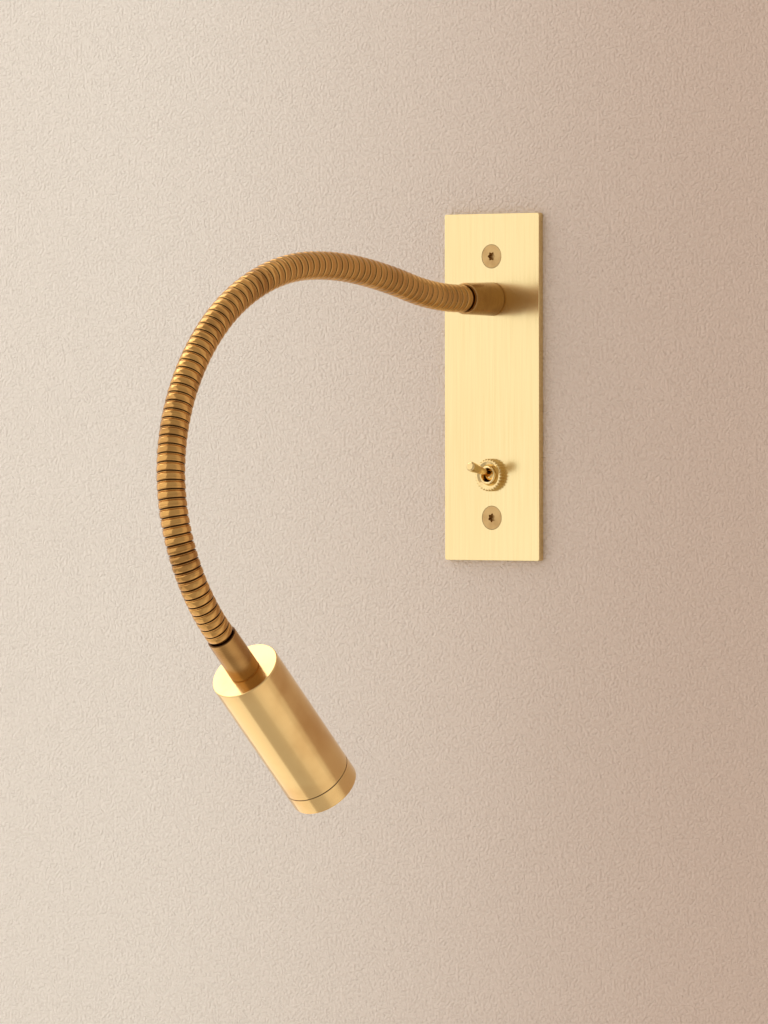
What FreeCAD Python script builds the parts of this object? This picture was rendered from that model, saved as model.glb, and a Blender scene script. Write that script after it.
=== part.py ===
import FreeCAD, Part
import math
import os
import Sketcher

# Bedside wall reading lamp: a brass plate on a back box sunk in the wall, a toggle switch,
# and a ribbed gooseneck that carries a small cylindrical head.
# The frame: origin at the centre of the plate's back face, which is the wall's plane,
# +X to the right seen from the room, +Z up, and the room on the -Y side.

Vector = FreeCAD.Vector
Rotation = FreeCAD.Rotation
Placement = FreeCAD.Placement

# Driving dimensions in millimetres, and angles in degrees.
sizes = {
    # wall plate and its two screws
    "plate_width": 50.0,
    "plate_height": 150.0,
    "plate_thickness": 3.0,
    "plate_corner": 1.0,
    "plate_edge": 0.25,
    "screw_spacing": 113.0,
    "screw_head": 10.2,
    "screw_shank": 5.0,
    "screw_length": 14.0,
    "screw_rim": 0.3,
    "screw_tip_radius": 2.0,
    "screw_tip_length": 1.0,
    "lobe_core": 1.42,
    "lobe_reach": 1.47,
    "lobe_radius": 0.5,
    "lobe_depth": 1.8,
    # back box behind the plate
    "box_width": 40.0,
    "box_height": 132.0,
    "box_depth": 35.0,
    "box_wall": 1.2,
    "lug_width": 14.0,
    "lug_length": 15.4,
    "lug_thickness": 2.5,
    "fixing_spacing": 80.0,
    "fixing_radius": 2.2,
    # rubber grommet where the supply comes in
    "grommet_bore": 3.0,
    "grommet_neck": 5.0,
    "grommet_flange": 6.5,
    "grommet_flange_top": 5.6,
    "grommet_lip": 1.2,
    "grommet_depth": 14.0,
    # driver and terminal block on the box's back wall
    "driver_width": 26.0,
    "driver_height": 46.0,
    "driver_depth": 18.0,
    "driver_centre": 1.0,
    "driver_corner": 2.0,
    "ear_length": 7.0,
    "ear_thickness": 2.0,
    "small_screw": 1.5,
    "small_screw_head": 2.8,
    "small_screw_cap": 1.6,
    "small_slot": 0.7,
    "pan_share": 0.6,
    "pan_slot_share": 0.5,
    "block_width": 20.0,
    "block_height": 11.0,
    "block_depth": 13.0,
    "block_centre": 7.8,
    "block_screw_spacing": 9.0,
    "block_well": 6.5,
    "clamp_screw_length": 4.4,
    "wire_radius": 0.9,
    "wire_bend": 4.0,
    "wire_gap": 6.0,
    "wire_lead_out": 1.0,
    "lead_lead_out": 2.0,
    # toggle switch
    "switch_drop": 38.0,
    "bushing_radius": 3.95,
    "bushing_bore": 2.9,
    "bushing_front": 3.75,
    "bushing_chamfer": 0.3,
    "switch_width": 10.0,
    "switch_height": 13.5,
    "switch_depth": 11.0,
    "switch_wall": 1.2,
    "switch_flange": 1.0,
    "dress_nut_radius": 7.05,
    "dress_nut_thickness": 3.0,
    "dress_nut_dish": 5.65,
    "dress_nut_dish_depth": 0.5,
    "dress_nut_chamfer": 0.35,
    "knurl_count": 30,
    "knurl_depth": 0.55,
    "knurl_half_width": 0.45,
    "rear_nut_across": 11.0,
    "rear_nut_thickness": 2.0,
    "rear_washer_radius": 6.5,
    "rear_washer_thickness": 0.6,
    "lever_tilt": 13.7,
    "lever_length": 16.8,
    "lever_ball": 2.8,
    "lever_neck": 1.3,
    "lever_tip": 2.1,
    "lever_tip_flat": 1.35,
    "lever_bevel": 0.9,
    "lever_neck_length": 1.0,
    "lever_end_length": 3.4,
    "lever_tail": 6.3,
    "lever_tail_radius": 0.8,
    "rocker_length": 9.0,
    "rocker_width": 3.0,
    "rocker_thickness": 0.8,
    "rocker_tilt": 10.0,
    "terminal_width": 2.0,
    "terminal_thickness": 0.8,
    "terminal_length": 4.5,
    "terminal_pitch": 4.7,
    # collar, threaded stud, washer and nut that hold the arm to the plate
    "arm_height": 38.0,
    "collar_length": 20.0,
    "collar_base_radius": 7.25,
    "collar_tip_radius": 6.8,
    "collar_chamfer": 0.3,
    "stud_radius": 5.0,
    "stud_bore": 2.2,
    "stud_spigot": 10.0,
    "stud_tail": 9.0,
    "stud_nut_across": 17.0,
    "stud_nut_thickness": 5.0,
    "stud_washer_radius": 9.0,
    "stud_washer_thickness": 1.0,
    # gooseneck
    "hose_floor": 5.5,
    "hose_crest": 6.0,
    "hose_bore": 4.0,
    "hose_insert": 8.0,
    "hose_straight": 4.0,
    "rib_pitch": 3.665,
    "groove_width": 0.7,
    "rib_shoulder": 0.3,
    "first_gap": 1.8,
    "last_gap": 1.0,
    "ball_radius": 6.3,
    "lead_radius": 1.5,
    "lead_gap": 0.48,
    # ferrule and head
    "ferrule_length": 20.5,
    "ferrule_top_radius": 6.4,
    "ferrule_base_radius": 6.6,
    "head_radius": 15.0,
    "head_wall": 1.6,
    "head_top": 3.0,
    "head_body_length": 63.5,
    "head_edge": 0.3,
    "head_nut_across": 15.0,
    "head_nut_thickness": 4.0,
    "head_washer_radius": 7.5,
    "head_washer_thickness": 0.8,
    "head_stud_spare": 1.0,
    "bezel_length": 8.5,
    "bezel_mouth": 10.8,
    "bezel_lip": 1.8,
    "bezel_spigot": 5.5,
    "bezel_spigot_wall": 1.0,
    "sink_length": 24.0,
    "sink_core": 8.5,
    "sink_fin": 1.6,
    "sink_fin_count": 6,
    "board_radius": 11.8,
    "board_thickness": 1.6,
    "board_screw_reach": 8.5,
    "board_screw_radius": 1.0,
    "board_screw_head": 1.9,
    "board_screw_cap": 1.1,
    "board_screw_length": 5.0,
    "chip_radius": 3.4,
    "chip_thickness": 0.8,
    "chip_top_radius": 2.7,
    "lens_depth": 10.0,
    "lens_throat": 4.6,
    "lens_rim": 1.5,
    "lens_well": 3.9,
    "lens_well_depth": 3.5,
    "lens_well_top": 3.1,
    "seal_radius": 0.5,
    "holder_wall": 1.2,
    # clearances
    "fit_gap": 0.05,
    "running_gap": 0.1,
    "soft_gap": 0.3,
    "overcut": 0.2,
}

# Whole ribs on each of the nine links, from the wall to the head.
link_ribs = [11, 9, 9, 9, 9, 9, 9, 9, 12]

# The arm's heading at the two ends of each link, in degrees: how far it has risen from
# straight out of the wall (below zero is downwards, past -90 back to the wall), and how
# far it has turned to +X.
headings = [
    (0.0, 0.0),
    (13.5, 0.0),
    (8.5, -3.5),
    (-2.5, -4.0),
    (-24.0, -6.0),
    (-44.0, -2.5),
    (-61.5, 1.0),
    (-77.5, 7.5),
    (-99.5, 10.5),
    (-135.4, 2.2),
]


# A number together with the sheet expression that gives it, so that a drawing's start
# value and its binding are written once.
class Size:
    def __init__(self, text, value):
        self.text = text
        self.value = value

    def __add__(self, other):
        other = sized(other)
        return Size(f"({self.text} + {other.text})", self.value + other.value)

    def __sub__(self, other):
        other = sized(other)
        return Size(f"({self.text} - {other.text})", self.value - other.value)

    def __mul__(self, other):
        other = sized(other)
        return Size(f"({self.text} * {other.text})", self.value * other.value)

    def __truediv__(self, other):
        other = sized(other)
        return Size(f"({self.text} / {other.text})", self.value / other.value)

    def __radd__(self, other):
        return sized(other) + self

    def __rsub__(self, other):
        return sized(other) - self

    def __rmul__(self, other):
        return sized(other) * self

    def __neg__(self):
        return Size(f"(0 - {self.text})", -self.value)


def sized(amount):
    if isinstance(amount, Size):
        return amount
    return Size(f"({float(amount):.9f})", float(amount))


doc = FreeCAD.newDocument("ReadingLamp")
sheet = doc.addObject("Spreadsheet::Sheet", "Sizes")
for row, (alias, number) in enumerate(sizes.items(), 1):
    sheet.set(f"A{row}", alias)
    sheet.set(f"B{row}", str(number))
    sheet.setAlias(f"B{row}", alias)
doc.recompute()


# The sheet's cells by name: dim.plate_width is that cell's expression and its number.
class Cells:
    def __getattr__(self, alias):
        return Size(f"Sizes.{alias}", float(getattr(sheet, alias)))


dim = Cells()
nodes = {}
tiny = 1e-6

collar_base = dim.plate_thickness
collar_tip = dim.plate_thickness + dim.collar_length


def bind(thing, name, amount):
    amount = sized(amount)
    setattr(thing, name, amount.value)
    if "Sizes." in amount.text:
        thing.setExpression(name, amount.text)


def add_node(label, thing):
    thing.Label = label
    nodes[label] = thing
    return thing


def new_body(label):
    return doc.addObject("PartDesign::Body", label)


def pin(sketch, geometry, point, across, along):
    for kind, axis, amount in (("DistanceX", -2, across), ("DistanceY", -1, along)):
        if abs(amount.value) < tiny:
            sketch.addConstraint(Sketcher.Constraint("PointOnObject", geometry, point, axis))
            continue
        rule = Sketcher.Constraint(kind, -1, 1, geometry, point, amount.value)
        number = sketch.addConstraint(rule)
        if "Sizes." in amount.text:
            sketch.setExpression(f"Constraints[{number}]", amount.text)


# A sketch on one of the body's own planes: closed outlines of straight sides, and circles.
def outline(body, role, loops=(), circles=(), height=0):
    sketch = body.newObject("Sketcher::SketchObject", "Outline")
    plane = [item for item in body.Origin.OriginFeatures if item.Role == role][0]
    sketch.AttachmentSupport = [(plane, "")]
    sketch.MapMode = "FlatFace"
    height = sized(height)
    sketch.AttachmentOffset = Placement(Vector(0, 0, height.value), Rotation())
    if "Sizes." in height.text:
        sketch.setExpression("AttachmentOffset.Base.z", height.text)
    for loop in loops:
        corners = [(sized(across), sized(along)) for across, along in loop]
        first = sketch.GeometryCount
        for (x, y), (u, v) in zip(corners, corners[1:] + corners[:1]):
            side = Part.LineSegment(Vector(x.value, y.value, 0), Vector(u.value, v.value, 0))
            sketch.addGeometry(side, False)
        for step, (x, y) in enumerate(corners):
            after = first + (step + 1) % len(corners)
            sketch.addConstraint(Sketcher.Constraint("Coincident", first + step, 2, after, 1))
            pin(sketch, first + step, 1, x, y)
    for x, y, radius in circles:
        x, y, radius = sized(x), sized(y), sized(radius)
        ring = Part.Circle(Vector(x.value, y.value, 0), Vector(0, 0, 1), radius.value)
        index = sketch.addGeometry(ring, False)
        pin(sketch, index, 3, x, y)
        number = sketch.addConstraint(Sketcher.Constraint("Radius", index, radius.value))
        if "Sizes." in radius.text:
            sketch.setExpression(f"Constraints[{number}]", radius.text)
    return sketch


# Turned about the local Z axis from (radius, height) corners.
def turned(label, corners):
    body = new_body(label)
    solid = body.newObject("PartDesign::Revolution", "Turned")
    sketch = outline(body, "XZ_Plane", [corners])
    solid.Profile = sketch
    solid.ReferenceAxis = (sketch, ["V_Axis"])
    solid.Angle = 360.0
    body.Tip = solid
    return body


# A pad or a pocket from a height along the local Z axis.
def extrude(body, kind, length, loops=(), circles=(), height=0, down=False):
    sketch = outline(body, "XY_Plane", loops, circles, height)
    solid = body.newObject(f"PartDesign::{kind}", kind)
    solid.Profile = sketch
    bind(solid, "Length", length)
    solid.Reversed = down if kind == "Pad" else not down
    body.Tip = solid
    return solid


def repeat_round(body, feature, count):
    doc.recompute()
    pattern = body.newObject("PartDesign::PolarPattern", "Round")
    pattern.Originals = [feature]
    pattern.Axis = (feature.Profile[0], ["N_Axis"])
    pattern.Angle = 360.0
    pattern.Occurrences = int(sized(count).value)
    body.Tip = pattern
    return pattern


# A chamfer or a fillet on the edges of the body's last feature that pass a test.
def soften(body, kind, amount, test):
    doc.recompute()
    base = body.Tip
    edges = enumerate(base.Shape.Edges, 1)
    names = [f"Edge{number}" for number, edge in edges if test(edge)]
    dressed = body.newObject(f"PartDesign::{kind}", kind)
    dressed.Base = (base, names)
    bind(dressed, "Size" if kind == "Chamfer" else "Radius", amount)
    body.Tip = dressed
    return dressed


def box_loop(x_low, x_high, y_low, y_high):
    return [(x_low, y_low), (x_high, y_low), (x_high, y_high), (x_low, y_high)]


def centred_loop(width, height, x=0, y=0):
    x, y = sized(x), sized(y)
    return box_loop(x - width / 2, x + width / 2, y - height / 2, y + height / 2)


def hexagon(across):
    reach = across / math.sqrt(3)
    turns = [math.radians(60 * step) for step in range(6)]
    return [(reach * math.cos(turn), reach * math.sin(turn)) for turn in turns]


# Sets a thing on the wall: x to the right, out from the wall's plane, and z up.
def on_wall(thing, x=0, out=0, z=0, tilt=0):
    x, back, z, tilt = sized(x), -sized(out), sized(z), sized(tilt)
    tipped = Rotation(Vector(1, 0, 0), 90 - tilt.value)
    thing.Placement = Placement(Vector(x.value, back.value, z.value), tipped)
    for name, amount in (("x", x), ("y", back), ("z", z)):
        if "Sizes." in amount.text:
            thing.setExpression(f"Placement.Base.{name}", amount.text)
    return thing


def group(label, things):
    compound = doc.addObject("Part::Compound", label)
    compound.Links = things
    return add_node(label, compound)


def shape_node(label, shape):
    thing = doc.addObject("Part::Feature", label)
    thing.Shape = shape
    return add_node(label, thing)


# ---- the arm's centreline ------------------------------------------------------------

first_groove = dim.first_gap.value
rib_pitch = dim.rib_pitch.value
flexible_length = first_groove + rib_pitch * sum(link_ribs) + dim.last_gap.value
last_link = len(link_ribs) - 1
groove_starts = [
    first_groove + rib_pitch * sum(link_ribs[:step]) for step in range(len(link_ribs) + 1)
]


def heading(rise, side):
    rise, side = math.radians(rise), math.radians(side)
    level = math.cos(side)
    return Vector(math.sin(side), -math.cos(rise) * level, math.sin(rise) * level)


# The stretches of the centreline from the collar's tip: each is a start distance, a
# length, a start point, and the headings at its two ends, joined by one arc.
def arm_stretches():
    straight = dim.hose_straight.value
    ends = [0.0] + groove_starts[1:-1] + [flexible_length]
    pieces = [(straight, headings[0], headings[0])]
    for number in range(len(link_ribs)):
        length = ends[number + 1] - ends[number]
        if number in (0, last_link):
            length -= straight
        pieces.append((length, headings[number], headings[number + 1]))
    pieces.append((straight, headings[-1], headings[-1]))
    stretches = []
    start = 0.0
    point = Vector(0, -collar_tip.value, dim.arm_height.value)
    for length, heading_in, heading_out in pieces:
        stretch = (start, length, point, heading(*heading_in), heading(*heading_out))
        stretches.append(stretch)
        point = stretch_point(stretch, length)
        start += length
    return stretches


def stretch_turn(stretch, distance):
    length, before, after = stretch[1], stretch[3], stretch[4]
    turn = before.getAngle(after)
    if turn < tiny:
        return 0.0, 0.0, Vector()
    inward = before.cross(after).normalize().cross(before)
    return turn * distance / length, length / turn, inward


def stretch_point(stretch, distance):
    point, before = stretch[2], stretch[3]
    angle, radius, inward = stretch_turn(stretch, distance)
    if radius == 0.0:
        return point + before * distance
    return point + before * (radius * math.sin(angle)) + inward * (radius * (1 - math.cos(angle)))


def stretch_heading(stretch, distance):
    angle, radius, inward = stretch_turn(stretch, distance)
    if radius == 0.0:
        return Vector(stretch[3])
    return stretch[3] * math.cos(angle) + inward * math.sin(angle)


arm = arm_stretches()


# A frame on the centreline: +Z along the arm, and X kept as near the row's X as it can be.
# Before the collar's tip and past the last stretch the line runs straight on.
def along_arm(distance):
    if distance < 0:
        stretch, within = arm[0], distance
    else:
        stretch = [item for item in arm if item[0] <= distance][-1]
        within = distance - stretch[0]
    forward = stretch_heading(stretch, within)
    side = Vector(1, 0, 0) - forward * forward.x
    turn = Rotation(side.normalize(), Vector(), forward, "ZXY")
    return Placement(stretch_point(stretch, within), turn)


# A tube's outside as a ruled loft through circles at (distance, radius) stations.
def lofted(stations):
    rings = []
    for distance, radius in stations:
        edge = Part.Circle(Vector(), Vector(0, 0, 1), radius).toShape()
        edge.Placement = along_arm(distance)
        rings.append(Part.Wire([edge]))
    return Part.makeLoft(rings, True, True)


def steps_between(start, end, longest):
    count = max(1, math.ceil((end - start) / longest))
    return [start + (end - start) * step / count for step in range(count + 1)]


def round_bar(start, end, radius):
    return lofted([(distance, radius) for distance in steps_between(start, end, rib_pitch)])


# Four circles a rib: its foot, its two crest edges and its other foot.
def rib_stations(start, count):
    floor, crest = dim.hose_floor.value, dim.hose_crest.value
    half_groove = dim.groove_width.value / 2
    shoulder = dim.rib_shoulder.value
    stations = []
    for number in range(count):
        low = start + rib_pitch * number + half_groove
        high = start + rib_pitch * (number + 1) - half_groove
        stations.append((low, floor))
        stations.append((low + shoulder, crest))
        stations.append((high - shoulder, crest))
        stations.append((high, floor))
    return stations


# Where a joint's ball is centred: the ball's skin meets the groove's floor at the joint.
joint_rim = math.sqrt(dim.ball_radius.value ** 2 - dim.hose_floor.value ** 2)
# How far behind the joint a lead starts: its end just fits in the ball, and turns with it.
lead_set = math.sqrt(dim.ball_radius.value ** 2 - dim.lead_radius.value ** 2)


def joint_distance(number):
    return groove_starts[number] + joint_rim


def build_link(number):
    floor, ball = dim.hose_floor.value, dim.ball_radius.value
    first, last = number == 0, number == last_link
    groove_in, groove_out = groove_starts[number], groove_starts[number + 1]
    start = -dim.hose_insert.value if first else joint_distance(number) - ball
    end = flexible_length + dim.hose_insert.value if last else groove_out
    stations = [(start, floor)] + rib_stations(groove_in, link_ribs[number]) + [(end, floor)]
    link = lofted(stations)
    if not first:
        seat = along_arm(joint_distance(number))
        waste = Part.makeCylinder(2 * ball, 2 * ball, Vector(), Vector(0, 0, -1))
        waste = waste.cut(Part.makeSphere(ball))
        waste.Placement = seat
        link = link.cut(waste)
    if not last:
        socket = Part.makeSphere(ball + dim.running_gap.value)
        socket.Placement = along_arm(joint_distance(number + 1))
        link = link.cut(socket)
    return link.cut(round_bar(start - ball, end + ball, dim.hose_bore.value))


def build_lead(number):
    lead_start = -(collar_tip.value + dim.stud_tail.value) if number == 0 else (
        joint_distance(number) - lead_set
    )
    lead_end = (
        joint_distance(number + 1) - lead_set - dim.lead_gap.value
        if number < last_link
        else flexible_length + board_back.value - dim.running_gap.value
    )
    return round_bar(lead_start, lead_end, dim.lead_radius.value)


# ---- wall plate and screws -----------------------------------------------------------

screw_height = dim.screw_spacing / 2
shank_radius = dim.screw_shank / 2
screw_top = dim.screw_head / 2
cone_depth = screw_top - shank_radius

plate = new_body("wall_plate")
extrude(
    plate,
    "Pad",
    dim.plate_thickness,
    loops=[centred_loop(dim.plate_width, dim.plate_height)],
    circles=[
        (0, dim.arm_height, dim.stud_radius + dim.fit_gap),
        (0, -dim.switch_drop, dim.bushing_radius + dim.fit_gap),
    ],
)


def on_plate_rim(edge):
    spot = edge.CenterOfMass
    across = abs(spot.x) > (dim.plate_width / 2 - dim.plate_corner).value
    return across or abs(spot.y) > (dim.plate_height / 2 - dim.plate_corner).value


def at_height(edge, height):
    return abs(edge.CenterOfMass.z - height.value) < tiny


soften(
    plate,
    "Fillet",
    dim.plate_corner,
    lambda edge: on_plate_rim(edge) and at_height(edge, dim.plate_thickness / 2),
)
soften(
    plate,
    "Chamfer",
    dim.plate_edge,
    lambda edge: on_plate_rim(edge) and at_height(edge, dim.plate_thickness),
)
for way in (1, -1):
    sink = plate.newObject("PartDesign::Groove", "Countersink")
    middle = way * screw_height
    hole = middle + shank_radius + dim.running_gap
    rim = middle + screw_top + dim.running_gap
    above = dim.plate_thickness + dim.overcut
    profile = [
        (middle, -dim.overcut),
        (hole, -dim.overcut),
        (hole, dim.plate_thickness - cone_depth - dim.screw_rim),
        (rim, dim.plate_thickness - dim.screw_rim),
        (rim, above),
        (middle, above),
    ]
    sketch = outline(plate, "YZ_Plane", [profile])
    foot, top = Vector(middle.value, -dim.overcut.value, 0), Vector(middle.value, above.value, 0)
    axis = sketch.addGeometry(Part.LineSegment(foot, top), True)
    pin(sketch, axis, 1, middle, -dim.overcut)
    pin(sketch, axis, 2, middle, above)
    sink.Profile = sketch
    sink.ReferenceAxis = (sketch, ["Axis0"])
    sink.Angle = 360.0
    plate.Tip = sink
on_wall(add_node("wall_plate", plate))


def countersunk_screw():
    screw = turned(
        "screw",
        [
            (0, -dim.screw_length),
            (dim.screw_tip_radius, -dim.screw_length),
            (shank_radius, dim.screw_tip_length - dim.screw_length),
            (shank_radius, -(cone_depth + dim.screw_rim)),
            (screw_top, -dim.screw_rim),
            (screw_top, 0),
            (0, 0),
        ],
    )
    core = [(0, 0, dim.lobe_core)]
    extrude(screw, "Pocket", dim.lobe_depth, circles=core, down=True)
    lobe = [(dim.lobe_reach, 0, dim.lobe_radius)]
    repeat_round(screw, extrude(screw, "Pocket", dim.lobe_depth, circles=lobe, down=True), 6)
    return screw


group(
    "plate_screws",
    [
        on_wall(countersunk_screw(), out=dim.plate_thickness, z=way * screw_height)
        for way in (1, -1)
    ],
)

# ---- back box, grommet, driver and terminal block --------------------------------------

inner_width = dim.box_width - 2 * dim.box_wall
inner_height = dim.box_height - 2 * dim.box_wall
back_inside = dim.box_depth - dim.box_wall
lug_tip_height = screw_height - dim.lug_length / 2

box = new_body("back_box")
box_outline = centred_loop(dim.box_width, dim.box_height)
extrude(box, "Pad", dim.box_depth, loops=[box_outline], down=True)
cavity = centred_loop(inner_width, inner_height)
extrude(box, "Pocket", back_inside, loops=[cavity], down=True)
# Each lug has its screw in the middle of its length, and runs on to the box's end.
lugs = [
    box_loop(
        -dim.lug_width / 2,
        dim.lug_width / 2,
        way * lug_tip_height,
        way * inner_height / 2,
    )
    for way in (1, -1)
]
extrude(box, "Pad", dim.lug_thickness, loops=lugs, down=True)
threads = [(0, way * screw_height, shank_radius + dim.fit_gap) for way in (1, -1)]
extrude(box, "Pocket", dim.screw_length, circles=threads, down=True)
fixings = [(0, way * dim.fixing_spacing / 2, dim.fixing_radius) for way in (1, -1)]
extrude(box, "Pocket", dim.box_depth, circles=fixings, down=True)
inlet_sketch = outline(
    box,
    "XZ_Plane",
    circles=[(0, -dim.grommet_depth, dim.grommet_neck)],
)
inlet = box.newObject("PartDesign::Pocket", "Inlet")
inlet.Profile = inlet_sketch
inlet.Reversed = True
bind(inlet, "Length", dim.box_height)
box.Tip = inlet
on_wall(add_node("back_box", box))

grommet = turned(
    "cable_grommet",
    [
        (dim.grommet_bore, -dim.grommet_lip - dim.box_wall),
        (dim.grommet_flange, -dim.grommet_lip - dim.box_wall),
        (dim.grommet_flange, -dim.box_wall),
        (dim.grommet_neck, -dim.box_wall),
        (dim.grommet_neck, 0),
        (dim.grommet_flange, 0),
        (dim.grommet_flange_top, dim.grommet_lip),
        (dim.grommet_bore, dim.grommet_lip),
    ],
)
grommet.Placement = Placement(
    Vector(0, dim.grommet_depth.value, -inner_height.value / 2), Rotation()
)
grommet.setExpression("Placement.Base.y", dim.grommet_depth.text)
grommet.setExpression("Placement.Base.z", (-inner_height / 2).text)
add_node("cable_grommet", grommet)

ear_reach = dim.driver_height / 2 + dim.ear_length / 2
driver = new_body("led_driver")
driver_top = dim.driver_centre + dim.driver_height / 2
driver_bottom = dim.driver_centre - dim.driver_height / 2
shell = centred_loop(dim.driver_width, dim.driver_height)
extrude(driver, "Pad", dim.driver_depth, loops=[shell])
soften(
    driver,
    "Fillet",
    dim.driver_corner,
    lambda edge: at_height(edge, dim.driver_depth / 2),
)
ears = [
    centred_loop(
        dim.driver_width / 2, dim.ear_length + dim.driver_corner, 0,
        way * (ear_reach - dim.driver_corner / 2),
    )
    for way in (1, -1)
]
extrude(driver, "Pad", dim.ear_thickness, loops=ears)
ear_holes = [(0, way * ear_reach, dim.small_screw + dim.running_gap) for way in (1, -1)]
extrude(driver, "Pocket", dim.ear_thickness, circles=ear_holes)
on_wall(add_node("led_driver", driver), out=-back_inside, z=dim.driver_centre)


# A pan-head screw whose head sits on height 0 and whose shank points down its axis.
def pan_screw(radius, head, cap, length):
    screw = turned(
        "pan_screw",
        [
            (0, -length),
            (radius, -length),
            (radius, 0),
            (head, 0),
            (head, cap * dim.pan_share),
            (head * dim.pan_share, cap),
            (0, cap),
        ],
    )
    slot = [centred_loop(head * 2, dim.small_slot)]
    extrude(screw, "Pocket", cap * dim.pan_slot_share, loops=slot, height=cap, down=True)
    return screw


ear_screws = [
    on_wall(
        pan_screw(
            dim.small_screw,
            dim.small_screw_head,
            dim.small_screw_cap,
            dim.ear_thickness,
        ),
        out=dim.ear_thickness - back_inside,
        z=dim.driver_centre + way * ear_reach,
    )
    for way in (1, -1)
]
group("driver_screws", ear_screws)

block_z = dim.block_centre - inner_height / 2
block = new_body("terminal_block")
block_outline = centred_loop(dim.block_width, dim.block_height)
extrude(block, "Pad", dim.block_depth, loops=[block_outline])
wells = [
    (way * dim.block_screw_spacing / 2, 0, dim.small_screw_head + dim.running_gap)
    for way in (1, -1)
]
extrude(block, "Pocket", dim.block_well, circles=wells, height=dim.block_depth, down=True)
on_wall(add_node("terminal_block", block), out=-back_inside, z=block_z)

clamp_screws = [
    on_wall(
        turned(
            "clamp_screw",
            [
                (0, 0),
                (dim.small_screw_head, 0),
                (dim.small_screw_head, dim.clamp_screw_length),
                (0, dim.clamp_screw_length),
            ],
        ),
        x=way * dim.block_screw_spacing / 2,
        out=dim.block_depth - dim.block_well - back_inside,
        z=block_z,
    )
    for way in (1, -1)
]
for screw in clamp_screws:
    slot = [centred_loop(dim.small_screw_head * 2, dim.small_slot)]
    top = dim.clamp_screw_length
    extrude(screw, "Pocket", dim.small_slot, loops=slot, height=top, down=True)
group("terminal_screws", clamp_screws)


# A wire of straight runs joined by arcs of one bend radius.
def bent_wire(points, bend, radius):
    edges = []
    start = points[0]
    for before, corner, after in zip(points, points[1:], points[2:]):
        arrive = (corner - before).normalize()
        leave = (after - corner).normalize()
        reach = bend * math.tan(arrive.getAngle(leave) / 2)
        enter, go_on = corner - arrive * reach, corner + leave * reach
        inward = (leave - arrive).normalize()
        half = arrive.getAngle(leave) / 2
        middle = corner + inward * (bend / math.cos(half) - bend)
        edges.append(Part.LineSegment(start, enter).toShape())
        edges.append(Part.Arc(enter, middle, go_on).toShape())
        start = go_on
    edges.append(Part.LineSegment(start, points[-1]).toShape())
    path = Part.Wire(edges)
    toward = (points[1] - points[0]).normalize()
    ring = Part.Wire([Part.Circle(points[0], toward, radius).toShape()])
    return path.makePipeShell([ring], True, False)


wire = dim.wire_radius.value
bend = dim.wire_bend.value
driver_middle = back_inside.value - dim.driver_depth.value / 2
block_top = block_z.value + dim.block_height.value / 2
supply_wires = []
for way in (1, -1):
    x = way * dim.wire_gap.value
    foot = Vector(x, driver_middle, block_top)
    supply_wires.append(
        Part.makeCylinder(wire, driver_bottom.value - block_top, foot, Vector(0, 0, 1))
    )

# ---- toggle switch ---------------------------------------------------------------------

switch_z = -dim.switch_drop
switch_face = dim.rear_washer_thickness + dim.rear_nut_thickness
flange_back = switch_face + dim.switch_flange
switch_back = flange_back + dim.switch_depth
pivot_out = dim.plate_thickness
bushing_end = dim.plate_thickness + dim.bushing_front

bushing = turned(
    "switch_bushing",
    [
        (dim.bushing_bore, -flange_back),
        (dim.bushing_radius, -flange_back),
        (dim.bushing_radius, bushing_end - dim.bushing_chamfer),
        (dim.bushing_radius - dim.bushing_chamfer, bushing_end),
        (dim.bushing_bore, bushing_end),
    ],
)
flange = [centred_loop(dim.switch_width, dim.switch_height)]
throat = [(0, 0, dim.bushing_bore)]
extrude(
    bushing, "Pad", dim.switch_flange, loops=flange, circles=throat, height=-switch_face, down=True
)
on_wall(add_node("switch_bushing", bushing), z=switch_z)

housing = new_body("switch_body")
housing_outline = centred_loop(dim.switch_width, dim.switch_height)
extrude(housing, "Pad", dim.switch_depth, loops=[housing_outline], height=-flange_back, down=True)
hollow = centred_loop(
    dim.switch_width - 2 * dim.switch_wall, dim.switch_height - 2 * dim.switch_wall
)
hollow_depth = dim.switch_depth - dim.switch_wall
extrude(housing, "Pocket", hollow_depth, loops=[hollow], height=-flange_back, down=True)
slots = [
    centred_loop(
        dim.terminal_width + 2 * dim.fit_gap,
        dim.terminal_thickness + 2 * dim.fit_gap,
        0,
        step * dim.terminal_pitch,
    )
    for step in (-1, 0, 1)
]
extrude(housing, "Pocket", dim.switch_depth, loops=slots, height=-flange_back, down=True)
on_wall(add_node("switch_body", housing), z=switch_z)

# The rocker turns on the middle terminal, under the lever's tail.
tail_end = dim.lever_tail + dim.lever_tail_radius
rocker_face = pivot_out - tail_end - dim.soft_gap
rocker_pivot = rocker_face - dim.rocker_thickness
terminals = []
for step in (-1, 0, 1):
    top = -(switch_back - dim.switch_wall)
    if step == 0:
        top = rocker_pivot - dim.running_gap
    lug = new_body("terminal")
    lug_end = switch_back + dim.terminal_length
    lug_loop = centred_loop(
        dim.terminal_width, dim.terminal_thickness, 0, step * dim.terminal_pitch
    )
    extrude(lug, "Pad", lug_end + top, loops=[lug_loop], height=top, down=True)
    terminals.append(on_wall(lug, z=switch_z))
group("switch_terminals", terminals)

rocker = new_body("switch_rocker")
blade = centred_loop(dim.rocker_width, dim.rocker_length)
extrude(rocker, "Pad", dim.rocker_thickness, loops=[blade])
on_wall(add_node("switch_rocker", rocker), out=rocker_pivot, z=switch_z, tilt=-dim.rocker_tilt)

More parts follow.
